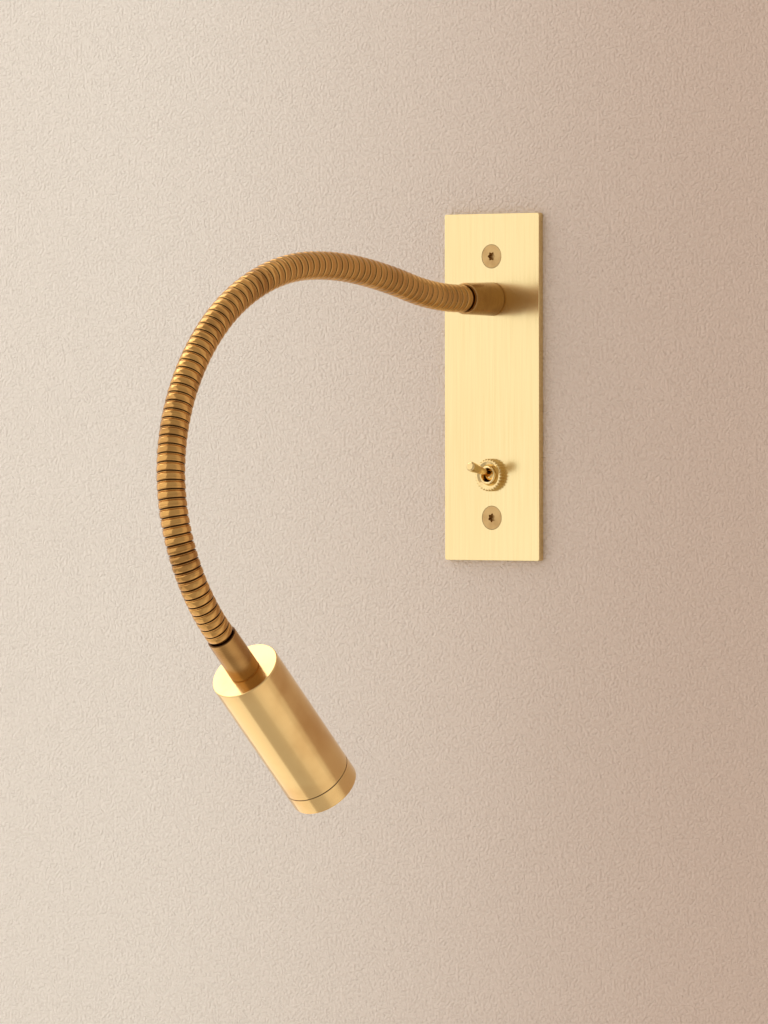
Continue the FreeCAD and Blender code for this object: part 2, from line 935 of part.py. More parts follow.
ball_steps = [math.radians(angle) for angle in (-50, -30, -10, 10, 30, 50)]
lever_profile = [(0, -tail_end), (dim.lever_tail_radius, -dim.lever_tail)]
for step in ball_steps:
    lever_profile.append(
        (dim.lever_ball * math.cos(step), dim.lever_ball * math.sin(step))
    )
lever_profile += [
    (dim.lever_neck, dim.lever_ball),
    (dim.lever_neck, dim.bushing_front + dim.lever_neck_length),
    (dim.lever_tip, dim.lever_length - dim.lever_end_length),
    (dim.lever_tip, dim.lever_length - dim.lever_bevel),
    (dim.lever_tip_flat, dim.lever_length),
    (0, dim.lever_length),
]
lever = turned("switch_lever", lever_profile)
on_wall(add_node("switch_lever", lever), out=pivot_out, z=switch_z, tilt=dim.lever_tilt)

dress_nut = turned(
    "switch_nut",
    [
        (dim.bushing_radius + dim.fit_gap, 0),
        (dim.dress_nut_radius, 0),
        (dim.dress_nut_radius, dim.dress_nut_thickness - dim.dress_nut_chamfer),
        (dim.dress_nut_radius - dim.dress_nut_chamfer, dim.dress_nut_thickness),
        (dim.dress_nut_dish, dim.dress_nut_thickness),
        (dim.bushing_radius + dim.fit_gap, dim.dress_nut_thickness - dim.dress_nut_dish_depth),
    ],
)
tooth_gap = [
    (dim.dress_nut_radius - dim.knurl_depth, 0),
    (dim.dress_nut_radius + dim.overcut, dim.knurl_half_width),
    (dim.dress_nut_radius + dim.overcut, -dim.knurl_half_width),
]
knurl = extrude(dress_nut, "Pocket", dim.dress_nut_thickness, loops=[tooth_gap])
repeat_round(dress_nut, knurl, dim.knurl_count)
on_wall(add_node("switch_nut", dress_nut), out=dim.plate_thickness, z=switch_z)


def ring_washer(label, inner, outer, thickness, out, z):
    washer = new_body(label)
    rings = [(0, 0, outer), (0, 0, inner)]
    extrude(washer, "Pad", thickness, circles=rings, down=True)
    return on_wall(add_node(label, washer), out=out, z=z)


def hex_nut(label, inner, across, thickness, out, z):
    nut = new_body(label)
    extrude(nut, "Pad", thickness, loops=[hexagon(across)], circles=[(0, 0, inner)], down=True)
    return on_wall(add_node(label, nut), out=out, z=z)


bushing_hole = dim.bushing_radius + dim.fit_gap
ring_washer(
    "switch_washer", bushing_hole, dim.rear_washer_radius, dim.rear_washer_thickness, 0, switch_z
)
hex_nut(
    "switch_back_nut",
    bushing_hole,
    dim.rear_nut_across,
    dim.rear_nut_thickness,
    -dim.rear_washer_thickness,
    switch_z,
)

# Wires from two of the switch's terminals up to the driver.
switch_wires = []
lug_tip = (switch_back + dim.terminal_length).value
for step in (1, 0):
    lug_z = switch_z.value + step * dim.terminal_pitch.value
    spread = (1 - step) * dim.wire_gap.value / 2
    turn_y = lug_tip + dim.wire_lead_out.value + spread + bend
    route = [
        Vector(0, lug_tip, lug_z),
        Vector(0, turn_y, lug_z),
        Vector(0, turn_y, driver_bottom.value),
    ]
    switch_wires.append(bent_wire(route, bend, wire))
shape_node("switch_wires", Part.makeCompound(switch_wires))
shape_node("supply_wires", Part.makeCompound(supply_wires))

# ---- collar, stud, washer and nut of the arm ---------------------------------------------

socket_radius = dim.hose_floor + dim.fit_gap
thread_hole = dim.stud_radius + dim.fit_gap
collar = turned(
    "arm_collar",
    [
        (thread_hole, 0),
        (dim.collar_base_radius, 0),
        (dim.collar_tip_radius, dim.collar_length - dim.collar_chamfer),
        (dim.collar_tip_radius - dim.collar_chamfer, dim.collar_length),
        (socket_radius, dim.collar_length),
        (socket_radius, dim.collar_length - dim.hose_insert),
        (thread_hole, dim.collar_length - dim.hose_insert),
    ],
)
on_wall(add_node("arm_collar", collar), out=collar_base, z=dim.arm_height)

spigot_radius = dim.hose_bore - dim.fit_gap
shoulder = collar_tip - dim.hose_insert
stud = turned(
    "arm_stud",
    [
        (dim.stud_bore, -dim.stud_tail),
        (dim.stud_radius, -dim.stud_tail),
        (dim.stud_radius, shoulder),
        (spigot_radius, shoulder),
        (spigot_radius, shoulder + dim.stud_spigot),
        (dim.stud_bore, shoulder + dim.stud_spigot),
    ],
)
on_wall(add_node("arm_stud", stud), z=dim.arm_height)
ring_washer(
    "arm_washer", thread_hole, dim.stud_washer_radius, dim.stud_washer_thickness, 0, dim.arm_height
)
hex_nut(
    "arm_nut",
    thread_hole,
    dim.stud_nut_across,
    dim.stud_nut_thickness,
    -dim.stud_washer_thickness,
    dim.arm_height,
)

# The lead inside the box, from the stud's tail over and down into the driver's top.
lead = dim.lead_radius.value
lead_route = [
    Vector(0, dim.stud_tail.value, dim.arm_height.value),
    Vector(0, driver_middle, dim.arm_height.value),
    Vector(0, driver_middle, driver_top.value),
]
shorter_run = min(
    driver_middle - dim.stud_tail.value, dim.arm_height.value - driver_top.value
)
shape_node("box_lead", bent_wire(lead_route, shorter_run - dim.lead_lead_out.value, lead))

# ---- head --------------------------------------------------------------------------------

head_frame = along_arm(flexible_length)


def on_head(label, body):
    body.Placement = head_frame
    return add_node(label, body)


head_face = dim.ferrule_length
seam = head_face + dim.head_body_length
mouth = seam + dim.bezel_length
head_inside = dim.head_radius - dim.head_wall
bezel_shoulder = mouth - dim.bezel_lip
lens_front = bezel_shoulder - 2 * dim.seal_radius
lens_back = lens_front - dim.lens_depth
board_front = lens_back - dim.running_gap
board_back = board_front - dim.board_thickness
spigot_outside = head_inside - dim.running_gap
spigot_inside = spigot_outside - dim.bezel_spigot_wall
lens_radius = spigot_inside - dim.running_gap

on_head(
    "head_ferrule",
    turned(
        "head_ferrule",
        [
            (socket_radius, 0),
            (dim.ferrule_top_radius - dim.collar_chamfer, 0),
            (dim.ferrule_top_radius, dim.collar_chamfer),
            (dim.ferrule_base_radius, dim.ferrule_length),
            (thread_hole, dim.ferrule_length),
            (thread_hole, dim.hose_insert),
            (socket_radius, dim.hose_insert),
        ],
    ),
)
nut_back = head_face + dim.head_top + dim.head_washer_thickness
stud_end = nut_back + dim.head_nut_thickness + dim.head_stud_spare
on_head(
    "head_stud",
    turned(
        "head_stud",
        [
            (dim.stud_bore, dim.hose_insert - dim.stud_spigot),
            (spigot_radius, dim.hose_insert - dim.stud_spigot),
            (spigot_radius, dim.hose_insert),
            (dim.stud_radius, dim.hose_insert),
            (dim.stud_radius, stud_end),
            (dim.stud_bore, stud_end),
        ],
    ),
)
head_washer = new_body("head_washer")
washer_rings = [(0, 0, dim.head_washer_radius), (0, 0, thread_hole)]
washer_back = head_face + dim.head_top
extrude(
    head_washer, "Pad", dim.head_washer_thickness, circles=washer_rings, height=washer_back
)
on_head("head_washer", head_washer)
head_nut = new_body("head_nut")
extrude(
    head_nut,
    "Pad",
    dim.head_nut_thickness,
    loops=[hexagon(dim.head_nut_across)],
    circles=[(0, 0, thread_hole)],
    height=nut_back,
)
on_head("head_nut", head_nut)

on_head(
    "head_housing",
    turned(
        "head_housing",
        [
            (thread_hole, head_face),
            (dim.head_radius - dim.head_edge, head_face),
            (dim.head_radius, head_face + dim.head_edge),
            (dim.head_radius, seam - dim.head_edge / 2),
            (dim.head_radius - dim.head_edge / 2, seam),
            (head_inside, seam),
            (head_inside, head_face + dim.head_top),
            (thread_hole, head_face + dim.head_top),
        ],
    ),
)
on_head(
    "bezel_ring",
    turned(
        "bezel_ring",
        [
            (spigot_inside, seam - dim.bezel_spigot),
            (spigot_outside, seam - dim.bezel_spigot),
            (spigot_outside, seam),
            (dim.head_radius - dim.head_edge / 2, seam),
            (dim.head_radius, seam + dim.head_edge / 2),
            (dim.head_radius, mouth - dim.head_edge),
            (dim.head_radius - dim.head_edge, mouth),
            (dim.bezel_mouth + dim.bezel_lip / 2, mouth),
            (dim.bezel_mouth, bezel_shoulder),
            (spigot_inside, bezel_shoulder),
        ],
    ),
)

# The heat sink: a slug with rings of fins round a core, its front plate against the board.
sink_back = board_back - dim.sink_length
sink_radius = head_inside - dim.fit_gap
fin_count = int(dim.sink_fin_count.value)
fin_pitch = (dim.sink_length - dim.sink_fin) / (fin_count - 1)
sink_profile = [(dim.stud_bore, sink_back), (sink_radius, sink_back)]
for number in range(fin_count - 1):
    fin_front = sink_back + number * fin_pitch + dim.sink_fin
    next_fin = sink_back + (number + 1) * fin_pitch
    sink_profile.append((sink_radius, fin_front))
    sink_profile.append((dim.sink_core, fin_front))
    sink_profile.append((dim.sink_core, next_fin))
    sink_profile.append((sink_radius, next_fin))
sink_profile += [(sink_radius, board_back), (dim.stud_bore, board_back)]
heat_sink = turned("heat_sink", sink_profile)
screw_holes = [
    (way * dim.board_screw_reach, 0, dim.board_screw_radius + dim.fit_gap) for way in (1, -1)
]
extrude(
    heat_sink,
    "Pocket",
    dim.board_screw_length,
    circles=screw_holes,
    height=board_back,
    down=True,
)
on_head("heat_sink", heat_sink)

board = new_body("led_board")
extrude(
    board,
    "Pad",
    dim.board_thickness,
    circles=[(0, 0, dim.board_radius)] + screw_holes,
    height=board_back,
)
on_head("led_board", board)

chip = turned(
    "led_chip",
    [
        (0, board_front),
        (dim.chip_radius, board_front),
        (dim.chip_radius, board_front + dim.chip_thickness / 2),
        (dim.chip_top_radius, board_front + dim.chip_thickness),
        (0, board_front + dim.chip_thickness),
    ],
)
on_head("led_chip", chip)

board_screws = []
for way in (1, -1):
    screw = pan_screw(
        dim.board_screw_radius,
        dim.board_screw_head,
        dim.board_screw_cap,
        dim.board_screw_length - dim.running_gap,
    )
    reach = Vector(way * dim.board_screw_reach.value, 0, board_front.value)
    screw.Placement = head_frame.multiply(Placement(reach, Rotation()))
    board_screws.append(screw)
group("board_screws", board_screws)

on_head(
    "lens",
    turned(
        "lens",
        [
            (dim.lens_well, lens_back),
            (dim.lens_throat, lens_back),
            (lens_radius - dim.running_gap, lens_front - dim.lens_rim),
            (lens_radius, lens_front - dim.lens_rim),
            (lens_radius, lens_front),
            (0, lens_front),
            (0, lens_back + dim.lens_well_depth),
            (dim.lens_well_top, lens_back + dim.lens_well_depth),
        ],
    ),
)
# The holder stands on the board and carries the lens's cone just below its widest part.
holder_inside = lens_radius - dim.holder_wall
cone_rise = (dim.lens_depth - dim.lens_rim) / (lens_radius - dim.running_gap - dim.lens_throat)
holder_front = lens_back + (holder_inside - dim.lens_throat) * cone_rise - dim.running_gap
on_head(
    "lens_holder",
    turned(
        "lens_holder",
        [
            (holder_inside, board_front),
            (lens_radius, board_front),
            (lens_radius, holder_front),
            (holder_inside, holder_front),
        ],
    ),
)
seal_centre = lens_radius - dim.seal_radius * 2
seal_height = lens_front + dim.seal_radius
corners = [math.radians(45 * step) for step in range(8)]
on_head(
    "lens_seal",
    turned(
        "lens_seal",
        [
            (
                seal_centre + dim.seal_radius * math.cos(corner),
                seal_height + dim.seal_radius * math.sin(corner),
            )
            for corner in corners
        ],
    ),
)

# ---- gooseneck links and the lead inside them ----------------------------------------------

for number in range(len(link_ribs)):
    shape_node(f"gooseneck_{number + 1}", build_link(number))
    shape_node(f"lamp_lead_{number + 1}", build_lead(number))

# ---- checks and files -------------------------------------------------------------------

doc.recompute()
for thing in doc.Objects:
    if "Invalid" in thing.State or "Error" in thing.State:
        raise SystemExit(f"{thing.Label} failed: {thing.State}")
    if thing.TypeId in ("PartDesign::Pocket", "PartDesign::Groove"):
        if thing.Shape.Volume > thing.BaseFeature.Shape.Volume - tiny:
            raise SystemExit(f"{thing.Label} in {thing.getParent()} cuts nothing")
for label, thing in nodes.items():
    if thing.Shape.isNull() or not thing.Shape.isValid() or not thing.Shape.Solids:
        raise SystemExit(f"{label} has no valid shape")
os.makedirs("parts", exist_ok=True)
for label, thing in nodes.items():
    thing.Shape.exportStep(f"parts/{label}.step")
print(len(nodes), "nodes; arm's flexible length", round(flexible_length, 1), "mm")
for number in range(1, len(link_ribs)):
    seat = along_arm(joint_distance(number))
    spot = [round(value, 3) for value in seat.Base]
    axis = [round(value, 5) for value in seat.Rotation.multVec(Vector(0, 0, 1))]
    print("arm joint", number, spot, "heading", axis)
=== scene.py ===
import bpy
import math
from mathutils import Matrix, Vector


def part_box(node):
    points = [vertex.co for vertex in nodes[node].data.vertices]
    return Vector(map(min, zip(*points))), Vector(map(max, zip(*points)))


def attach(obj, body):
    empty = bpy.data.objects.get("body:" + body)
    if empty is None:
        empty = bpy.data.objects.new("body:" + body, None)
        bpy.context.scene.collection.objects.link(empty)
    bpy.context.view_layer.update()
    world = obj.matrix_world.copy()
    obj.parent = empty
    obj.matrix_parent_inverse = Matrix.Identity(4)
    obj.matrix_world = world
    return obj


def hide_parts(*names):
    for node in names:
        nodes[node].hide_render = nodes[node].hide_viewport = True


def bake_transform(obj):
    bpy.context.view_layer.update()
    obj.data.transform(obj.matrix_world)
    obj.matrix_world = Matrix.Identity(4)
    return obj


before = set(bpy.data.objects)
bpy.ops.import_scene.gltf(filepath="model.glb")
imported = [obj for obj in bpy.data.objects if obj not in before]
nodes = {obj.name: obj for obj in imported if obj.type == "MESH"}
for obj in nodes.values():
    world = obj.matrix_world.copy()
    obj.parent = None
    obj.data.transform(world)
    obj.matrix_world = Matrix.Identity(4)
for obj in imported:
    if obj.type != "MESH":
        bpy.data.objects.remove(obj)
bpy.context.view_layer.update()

# Bedside wall reading lamp: brass plate, toggle switch, ribbed gooseneck and a slim head.
# Sizes below are in millimetres and turn into metres with mm; z is up, the room is at -y.
mm = 0.001
near = 0.01 * mm  # two places closer than this count as one
merging = 0.001 * mm
straightAngle = 1e-6  # radians; an arc that turns less is drawn as a line
print("frame loaded,", len(nodes), "nodes")

photoView = {
    "place": (1.8196, -2.5650, -0.0141),  # metres
    "azimuth": 36.233,
    "elevation": 0.726,
    "roll": -0.086,
    "lens": 255.53,
}


def addCamera():
    bpy.ops.object.camera_add()
    camera = bpy.context.object
    camera.name = "photoCamera"
    camera.data.lens = photoView["lens"]
    aside = Matrix.Rotation(math.radians(photoView["azimuth"]), 4, "Z")
    tipped = Matrix.Rotation(math.radians(90 - photoView["elevation"]), 4, "X")
    rolled = Matrix.Rotation(math.radians(photoView["roll"]), 4, "Z")
    camera.matrix_world = Matrix.Translation(photoView["place"]) @ aside @ tipped @ rolled
    bpy.context.scene.camera = camera


addCamera()


# A colour as a picker shows it, 0 to 255, for a shader socket.
def tone(red, green, blue):
    channels = [channel / 255 for channel in (red, green, blue)]
    linear = [
        channel / 12.92 if channel <= 0.04045 else ((channel + 0.055) / 1.055) ** 2.4
        for channel in channels
    ]
    return (*linear, 1.0)


# One output of a shader node. Arithmetic on signals adds the Math nodes for it.
class Signal:
    def __init__(self, tree, socket=None):
        self.tree = tree
        self.socket = socket

    def node(self, kind, settings=None, inputs=None, output=0):
        made = self.tree.nodes.new("ShaderNode" + kind)
        for name, value in (settings or {}).items():
            setattr(made, name, value)
        for name, value in (inputs or {}).items():
            if isinstance(value, Signal):
                self.tree.links.new(value.socket, made.inputs[name])
            else:
                made.inputs[name].default_value = value
        return Signal(self.tree, made.outputs[output] if made.outputs else None)

    def math(self, operation, first, second=0.0):
        return self.node("Math", {"operation": operation}, {0: first, 1: second})

    def __add__(self, other):
        return self.math("ADD", self, other)

    def __sub__(self, other):
        return self.math("SUBTRACT", self, other)

    def __rsub__(self, other):
        return self.math("SUBTRACT", other, self)

    def __mul__(self, other):
        return self.math("MULTIPLY", self, other)

    def __truediv__(self, other):
        return self.math("DIVIDE", self, other)

    def __pow__(self, other):
        return self.math("POWER", self, other)

    __radd__ = __add__

    # 0 below low, 1 above high, and smooth between them.
    def between(self, low, high):
        limits = {"Value": self, "From Min": low, "From Max": high}
        return self.node("MapRange", {"interpolation_type": "SMOOTHSTEP"}, limits)

    def blend(self, first, second):
        colours = {"data_type": "RGBA"}
        return self.node("Mix", colours, {0: self, 6: first, 7: second}, 2)


def newFinish(name):
    material = bpy.data.materials.new(name)
    material.use_nodes = True
    material.node_tree.nodes.clear()
    return material, Signal(material.node_tree)


def closeFinish(start, inputs):
    start.node("OutputMaterial", None, {"Surface": start.node("BsdfPrincipled", None, inputs)})


# Where a finish is read: the object's own axes, or the piece's axes before it was placed.
def objectSpot(start):
    return start.node("TexCoord", output="Object")


def ownSpot(start):
    return start.node("Attribute", {"attribute_name": "own"}, output="Vector")


def noise(spot, scale, detail=3.0, stretch=(1.0, 1.0, 1.0)):
    stretched = spot.node("Mapping", None, {"Vector": spot, "Scale": stretch})
    inputs = {"Vector": stretched, "Scale": scale, "Detail": detail}
    return spot.node("TexNoise", None, inputs)


# The x, y and z of a vector signal.
def axesOf(spot):
    parts = spot.node("SeparateXYZ", None, {"Vector": spot})
    return [Signal(spot.tree, socket) for socket in parts.socket.node.outputs]


def bumped(height, strength, depth):
    inputs = {"Height": height, "Strength": strength, "Distance": depth * mm}
    return height.node("Bump", None, inputs)


plateBrass = {
    "colour": tone(236, 215, 163),
    "grainColour": tone(230, 206, 151),
    "grain": 4200.0,  # streaks to the metre
    "grainLength": 0.008,
    "grainShare": 0.7,
    "cloudScale": 14.0,
    "cloudShare": 0.3,
    "roughness": 0.2,
    "roughnessSpread": 0.06,
    "bump": 0.05,
}


def plateFinish():
    material, start = newFinish("plateBrass")
    spot = objectSpot(start)
    stretch = (1.0, 1.0, plateBrass["grainLength"])
    streaks = noise(spot, plateBrass["grain"], 4.0, stretch)
    cloud = noise(spot, plateBrass["cloudScale"], 2.0)
    shade = (streaks * plateBrass["grainShare"] + cloud * plateBrass["cloudShare"]).between(0.3, 0.7)
    closeFinish(start, {
        "Base Color": shade.blend(plateBrass["colour"], plateBrass["grainColour"]),
        "Metallic": 1.0,
        "Roughness": plateBrass["roughness"] + (streaks - 0.5) * plateBrass["roughnessSpread"],
        "Normal": bumped(streaks, plateBrass["bump"], 0.02),
    })
    return material


# The dark line of painted shade where two turned pieces meet, and how far it reaches to each side.
seamShade = {
    "colour": tone(92, 62, 34),
    "full": 0.12,
    "faded": 0.3,
    "nowhere": -50.0,  # a height that no piece reaches
}


# Brass turned on a lathe: fine rings round the piece's axis, a faint cloudy lacquer, and a painted
# shade line along a seam at a height on that axis.
def turnedFinish(name, look, seamHeight):
    material, start = newFinish(name)
    spot = ownSpot(start)
    across, along, height = axesOf(spot)
    radius = (across * across + along * along) ** 0.5
    rings = start.node(
        "TexNoise", {"noise_dimensions": "1D"}, {"W": (radius + height) * look["rings"], "Detail": 4.0}
    )
    cloud = noise(spot, look["cloudScale"], 3.0)
    patch = cloud.between(0.42, 0.72) * look["cloud"] + rings * look["ringShade"]
    fromSeam = start.math("ABSOLUTE", height - seamHeight * mm)
    # painted shade: a dark line painted along the seam, where shade falls in the joint
    seam = 1 - fromSeam.between(seamShade["full"] * mm, seamShade["faded"] * mm)
    closeFinish(start, {
        "Base Color": seam.blend(patch.blend(look["colour"], look["deepColour"]), seamShade["colour"]),
        "Metallic": 1.0,
        "Roughness": look["roughness"] + (rings - 0.5) * 0.1 + (cloud - 0.5) * 0.1,
        "Normal": bumped(rings, look["ringBump"], 0.02),
    })
    return material


collarBrass = {
    "colour": tone(186, 144, 88),
    "deepColour": tone(140, 98, 52),
    "rings": 5200.0,
    "ringShade": 0.3,
    "ringBump": 0.1,
    "cloud": 0.4,
    "cloudScale": 90.0,
    "roughness": 0.26,
}
headBrass = {
    "colour": tone(236, 203, 142),
    "deepColour": tone(208, 164, 104),
    "rings": 4200.0,
    "ringShade": 0.15,
    "ringBump": 0.02,
    "cloud": 0.6,
    "cloudScale": 42.0,
    "roughness": 0.17,
}
screwBrass = {
    "colour": tone(205, 172, 118),
    "deepColour": tone(150, 112, 66),
    "rings": 3600.0,
    "ringShade": 0.5,
    "ringBump": 0.2,
    "cloud": 0.3,
    "cloudScale": 160.0,
    "roughness": 0.34,
}
switchBrass = {
    "colour": tone(240, 214, 156),
    "deepColour": tone(196, 156, 92),
    "rings": 3000.0,
    "ringShade": 0.25,
    "ringBump": 0.05,
    "cloud": 0.2,
    "cloudScale": 200.0,
    "roughness": 0.16,
}

hoseBrass = {
    "colour": tone(208, 160, 94),
    "deepColour": tone(138, 92, 48),
    # painted shade: the colour painted into the grooves between ribs
    "grooveShadeColour": tone(84, 54, 28),
    "grooveShadeEdge": (0.05, 0.1),  # shares of the pitch, from the groove's middle
    "streaks": 1500.0,
    "streakShade": 1.2,
    "cloudScale": 60.0,
    "cloudShade": 0.5,
    "roughness": 0.16,
}


def hoseFinish():
    material, start = newFinish("hoseBrass")
    spot = ownSpot(start)
    height = axesOf(spot)[2]
    pitch = hose["pitch"] * mm
    phase = start.math("FRACT", (height - hose["firstGroove"] * mm) / pitch)
    fromGroove = 0.5 - start.math("ABSOLUTE", phase - 0.5)  # 0 in the groove, 0.5 on the crest
    # painted shade: the grooves are painted dark where shade falls in them; the same mask also raises
    # roughness
    groove = 1 - fromGroove.between(*hoseBrass["grooveShadeEdge"])
    streaks = noise(spot, hoseBrass["streaks"], 3.0, (0.03, 0.03, 1.0))
    cloud = noise(spot, hoseBrass["cloudScale"], 2.0).between(0.35, 0.75)
    worn = (streaks - 0.5) * hoseBrass["streakShade"] + cloud * hoseBrass["cloudShade"]
    metal = worn.blend(hoseBrass["colour"], hoseBrass["deepColour"])
    closeFinish(start, {
        "Base Color": groove.blend(metal, hoseBrass["grooveShadeColour"]),
        "Metallic": 1.0,
        "Roughness": hoseBrass["roughness"] + (streaks - 0.5) * 0.2 + groove * 0.3,
        "Normal": bumped(streaks, 0.15, 0.03),
    })
    return material


# Plain finishes of the inner pieces: two colours mixed by a noise, and a grain in the bump.
innerFinishes = {
    "zincSteel": {
        "colours": (tone(190, 192, 194), tone(170, 173, 177)),
        "scale": 420.0, "metallic": 1.0, "roughness": 0.38, "bump": 0.08,
        "nodes": ["back_box", "arm_stud", "arm_washer", "arm_nut", "head_stud", "head_washer", "head_nut",
                  "switch_washer", "switch_back_nut", "driver_screws", "terminal_screws", "board_screws"],
    },
    "contactSilver": {
        "colours": (tone(214, 206, 186), tone(170, 160, 140)),
        "scale": 600.0, "metallic": 1.0, "roughness": 0.3, "bump": 0.05,
        "nodes": ["switch_terminals", "switch_rocker"],
    },
    "blackRubber": {
        "colours": (tone(34, 34, 35), tone(24, 24, 25)),
        "scale": 900.0, "metallic": 0.0, "roughness": 0.75, "bump": 0.25,
        "nodes": ["cable_grommet", "lens_seal"],
    },
    "driverPlastic": {
        "colours": (tone(228, 228, 224), tone(216, 216, 211)),
        "scale": 1400.0, "metallic": 0.0, "roughness": 0.55, "bump": 0.3,
        "nodes": ["led_driver"],
    },
    "blockPlastic": {
        "colours": (tone(236, 236, 232), tone(224, 224, 218)),
        "scale": 800.0, "metallic": 0.0, "roughness": 0.42, "bump": 0.12,
        "nodes": ["terminal_block", "lens_holder"],
    },
    "switchPlastic": {
        "colours": (tone(40, 40, 42), tone(28, 28, 30)),
        "scale": 1000.0, "metallic": 0.0, "roughness": 0.5, "bump": 0.2,
        "nodes": ["switch_body"],
    },
    "leadJacket": {
        "colours": (tone(210, 204, 190), tone(192, 186, 170)),
        "scale": 700.0, "metallic": 0.0, "roughness": 0.5, "bump": 0.08,
        "nodes": ["box_lead", "supply_wires", "switch_wires"],
    },
    "sinkAluminium": {
        "colours": (tone(214, 216, 218), tone(190, 192, 196)),
        "scale": 1200.0, "metallic": 1.0, "roughness": 0.34, "bump": 0.1,
        "nodes": ["heat_sink", "led_board"],
    },
    "ledPhosphor": {
        "colours": (tone(244, 214, 96), tone(232, 190, 66)),
        "scale": 2600.0, "metallic": 0.0, "roughness": 0.3, "bump": 0.15,
        "nodes": ["led_chip"],
    },
}


def innerFinish(name, look):
    material, start = newFinish(name)
    grain = noise(objectSpot(start), look["scale"], 4.0)
    first, second = look["colours"]
    closeFinish(start, {
        "Base Color": grain.between(0.35, 0.65).blend(first, second),
        "Metallic": look["metallic"],
        "Roughness": look["roughness"] + (grain - 0.5) * 0.2,
        "Normal": bumped(grain, look["bump"], 0.05),
    })
    return material


lensLook = {"colour": tone(250, 250, 248), "roughness": 0.04, "indexOfRefraction": 1.49}


def lensFinish():
    material, start = newFinish("lensClear")
    haze = noise(objectSpot(start), 500.0, 2.0)
    closeFinish(start, {
        "Base Color": lensLook["colour"],
        "Roughness": lensLook["roughness"] + haze * 0.05,
        "IOR": lensLook["indexOfRefraction"],
        "Transmission Weight": 1.0,
    })
    return material


def coat(piece, material):
    if piece.material_slots:
        for slot in piece.material_slots:
            slot.material = material
    else:
        piece.data.materials.append(material)


finishes = {}
for finishName, finishLook in innerFinishes.items():
    finishes[finishName] = innerFinish(finishName, finishLook)
    for nodeName in finishLook["nodes"]:
        coat(nodes[nodeName], finishes[finishName])
print("inner pieces coated")


def deselectAll():
    bpy.ops.object.select_all(action="DESELECT")


def nameIt(piece, name):
    piece.name = name
    piece.data.name = name
    return piece


# Selects a piece's vertices, edges or faces by a test on their middle, and enters edit mode.
def pick(piece, kind, test):
    bpy.ops.object.mode_set(mode="OBJECT")
    mesh = piece.data
    bpy.context.tool_settings.mesh_select_mode = (kind == "VERT", kind == "EDGE", kind == "FACE")
    for items in (mesh.vertices, mesh.edges, mesh.polygons):
        items.foreach_set("select", [False] * len(items))
    if kind == "VERT":
        mesh.vertices.foreach_set("select", [bool(test(vertex.co)) for vertex in mesh.vertices])
    elif kind == "EDGE":
        for edge in mesh.edges:
            ends = [mesh.vertices[index].co for index in edge.vertices]
            edge.select = bool(test((ends[0] + ends[1]) / 2, ends[1] - ends[0]))
    else:
        for face in mesh.polygons:
            face.select = bool(test(face.center, face.normal))
    bpy.ops.object.mode_set(mode="EDIT")


def leaveEdit():
    bpy.ops.object.mode_set(mode="OBJECT")


def applyModifier(piece, kind, settings):
    modifier = piece.modifiers.new(kind.lower(), kind)
    for name, value in settings.items():
        setattr(modifier, name, value)
    bpy.context.view_layer.objects.active = piece
    bpy.ops.object.modifier_apply(modifier=modifier.name)


def softenEdges(piece, width):
    applyModifier(piece, "BEVEL", {
        "width": width * mm, "segments": 2, "limit_method": "ANGLE",
        "angle_limit": math.radians(32), "use_clamp_overlap": True,
    })


def smooth(piece, angle=40):
    deselectAll()
    piece.select_set(True)
    bpy.context.view_layer.objects.active = piece
    bpy.ops.object.shade_smooth_by_angle(angle=math.radians(angle))
    applyModifier(piece, "WEIGHTED_NORMAL", {"keep_sharp": True})


# Keeps where each vertex lies on the piece's own axes, for finishes that follow them.
def keepOwnSpots(piece):
    spots = [0.0] * (3 * len(piece.data.vertices))
    piece.data.vertices.foreach_get("co", spots)
    piece.data.attributes.new("own", "FLOAT_VECTOR", "POINT").data.foreach_set("vector", spots)


def settle(piece, place):
    deselectAll()
    piece.select_set(True)
    bpy.context.view_layer.objects.active = piece
    piece.matrix_world = place
    bpy.ops.object.transform_apply(location=True, rotation=True, scale=True)


# A lathe shape: one vertex is extruded along (radius, height) points and spun round z.
def turn(name, profile, sides=96):
    deselectAll()
    bpy.ops.mesh.primitive_plane_add(size=mm)
    piece = nameIt(bpy.context.object, name)
    pick(piece, "VERT", lambda spot: True)
    bpy.ops.mesh.merge(type="CENTER")
    bpy.ops.transform.translate(value=(profile[0][0] * mm, 0, profile[0][1] * mm))
    for (radius, height), (nextRadius, nextHeight) in zip(profile, profile[1:]):
        step = ((nextRadius - radius) * mm, 0, (nextHeight - height) * mm)
        bpy.ops.mesh.extrude_region_move(TRANSFORM_OT_translate={"value": step})
    bpy.ops.mesh.select_all(action="SELECT")
    bpy.ops.mesh.spin(steps=sides, angle=2 * math.pi, center=(0, 0, 0), axis=(0, 0, 1))
    bpy.ops.mesh.select_all(action="SELECT")
    bpy.ops.mesh.remove_doubles(threshold=merging)
    bpy.ops.mesh.normals_make_consistent(inside=False)
    leaveEdit()
    return piece


def turnedPiece(name, profile, place, material, edge=0.15, sides=96):
    piece = turn(name, profile, sides)
    softenEdges(piece, edge)
    smooth(piece)
    keepOwnSpots(piece)
    settle(piece, place)
    coat(piece, material)
    return piece


def cutAway(piece, cutter):
    applyModifier(piece, "BOOLEAN", {"object": cutter, "operation": "DIFFERENCE", "solver": "EXACT"})
    bpy.data.objects.remove(cutter)


# A place on the wall plate's front, with the piece's z axis pointing into the room.
def onPlate(out, height, tilt=0.0):
    tipped = Matrix.Rotation(math.radians(90 - tilt), 4, "X")
    return Matrix.Translation((0, -out * mm, height * mm)) @ tipped


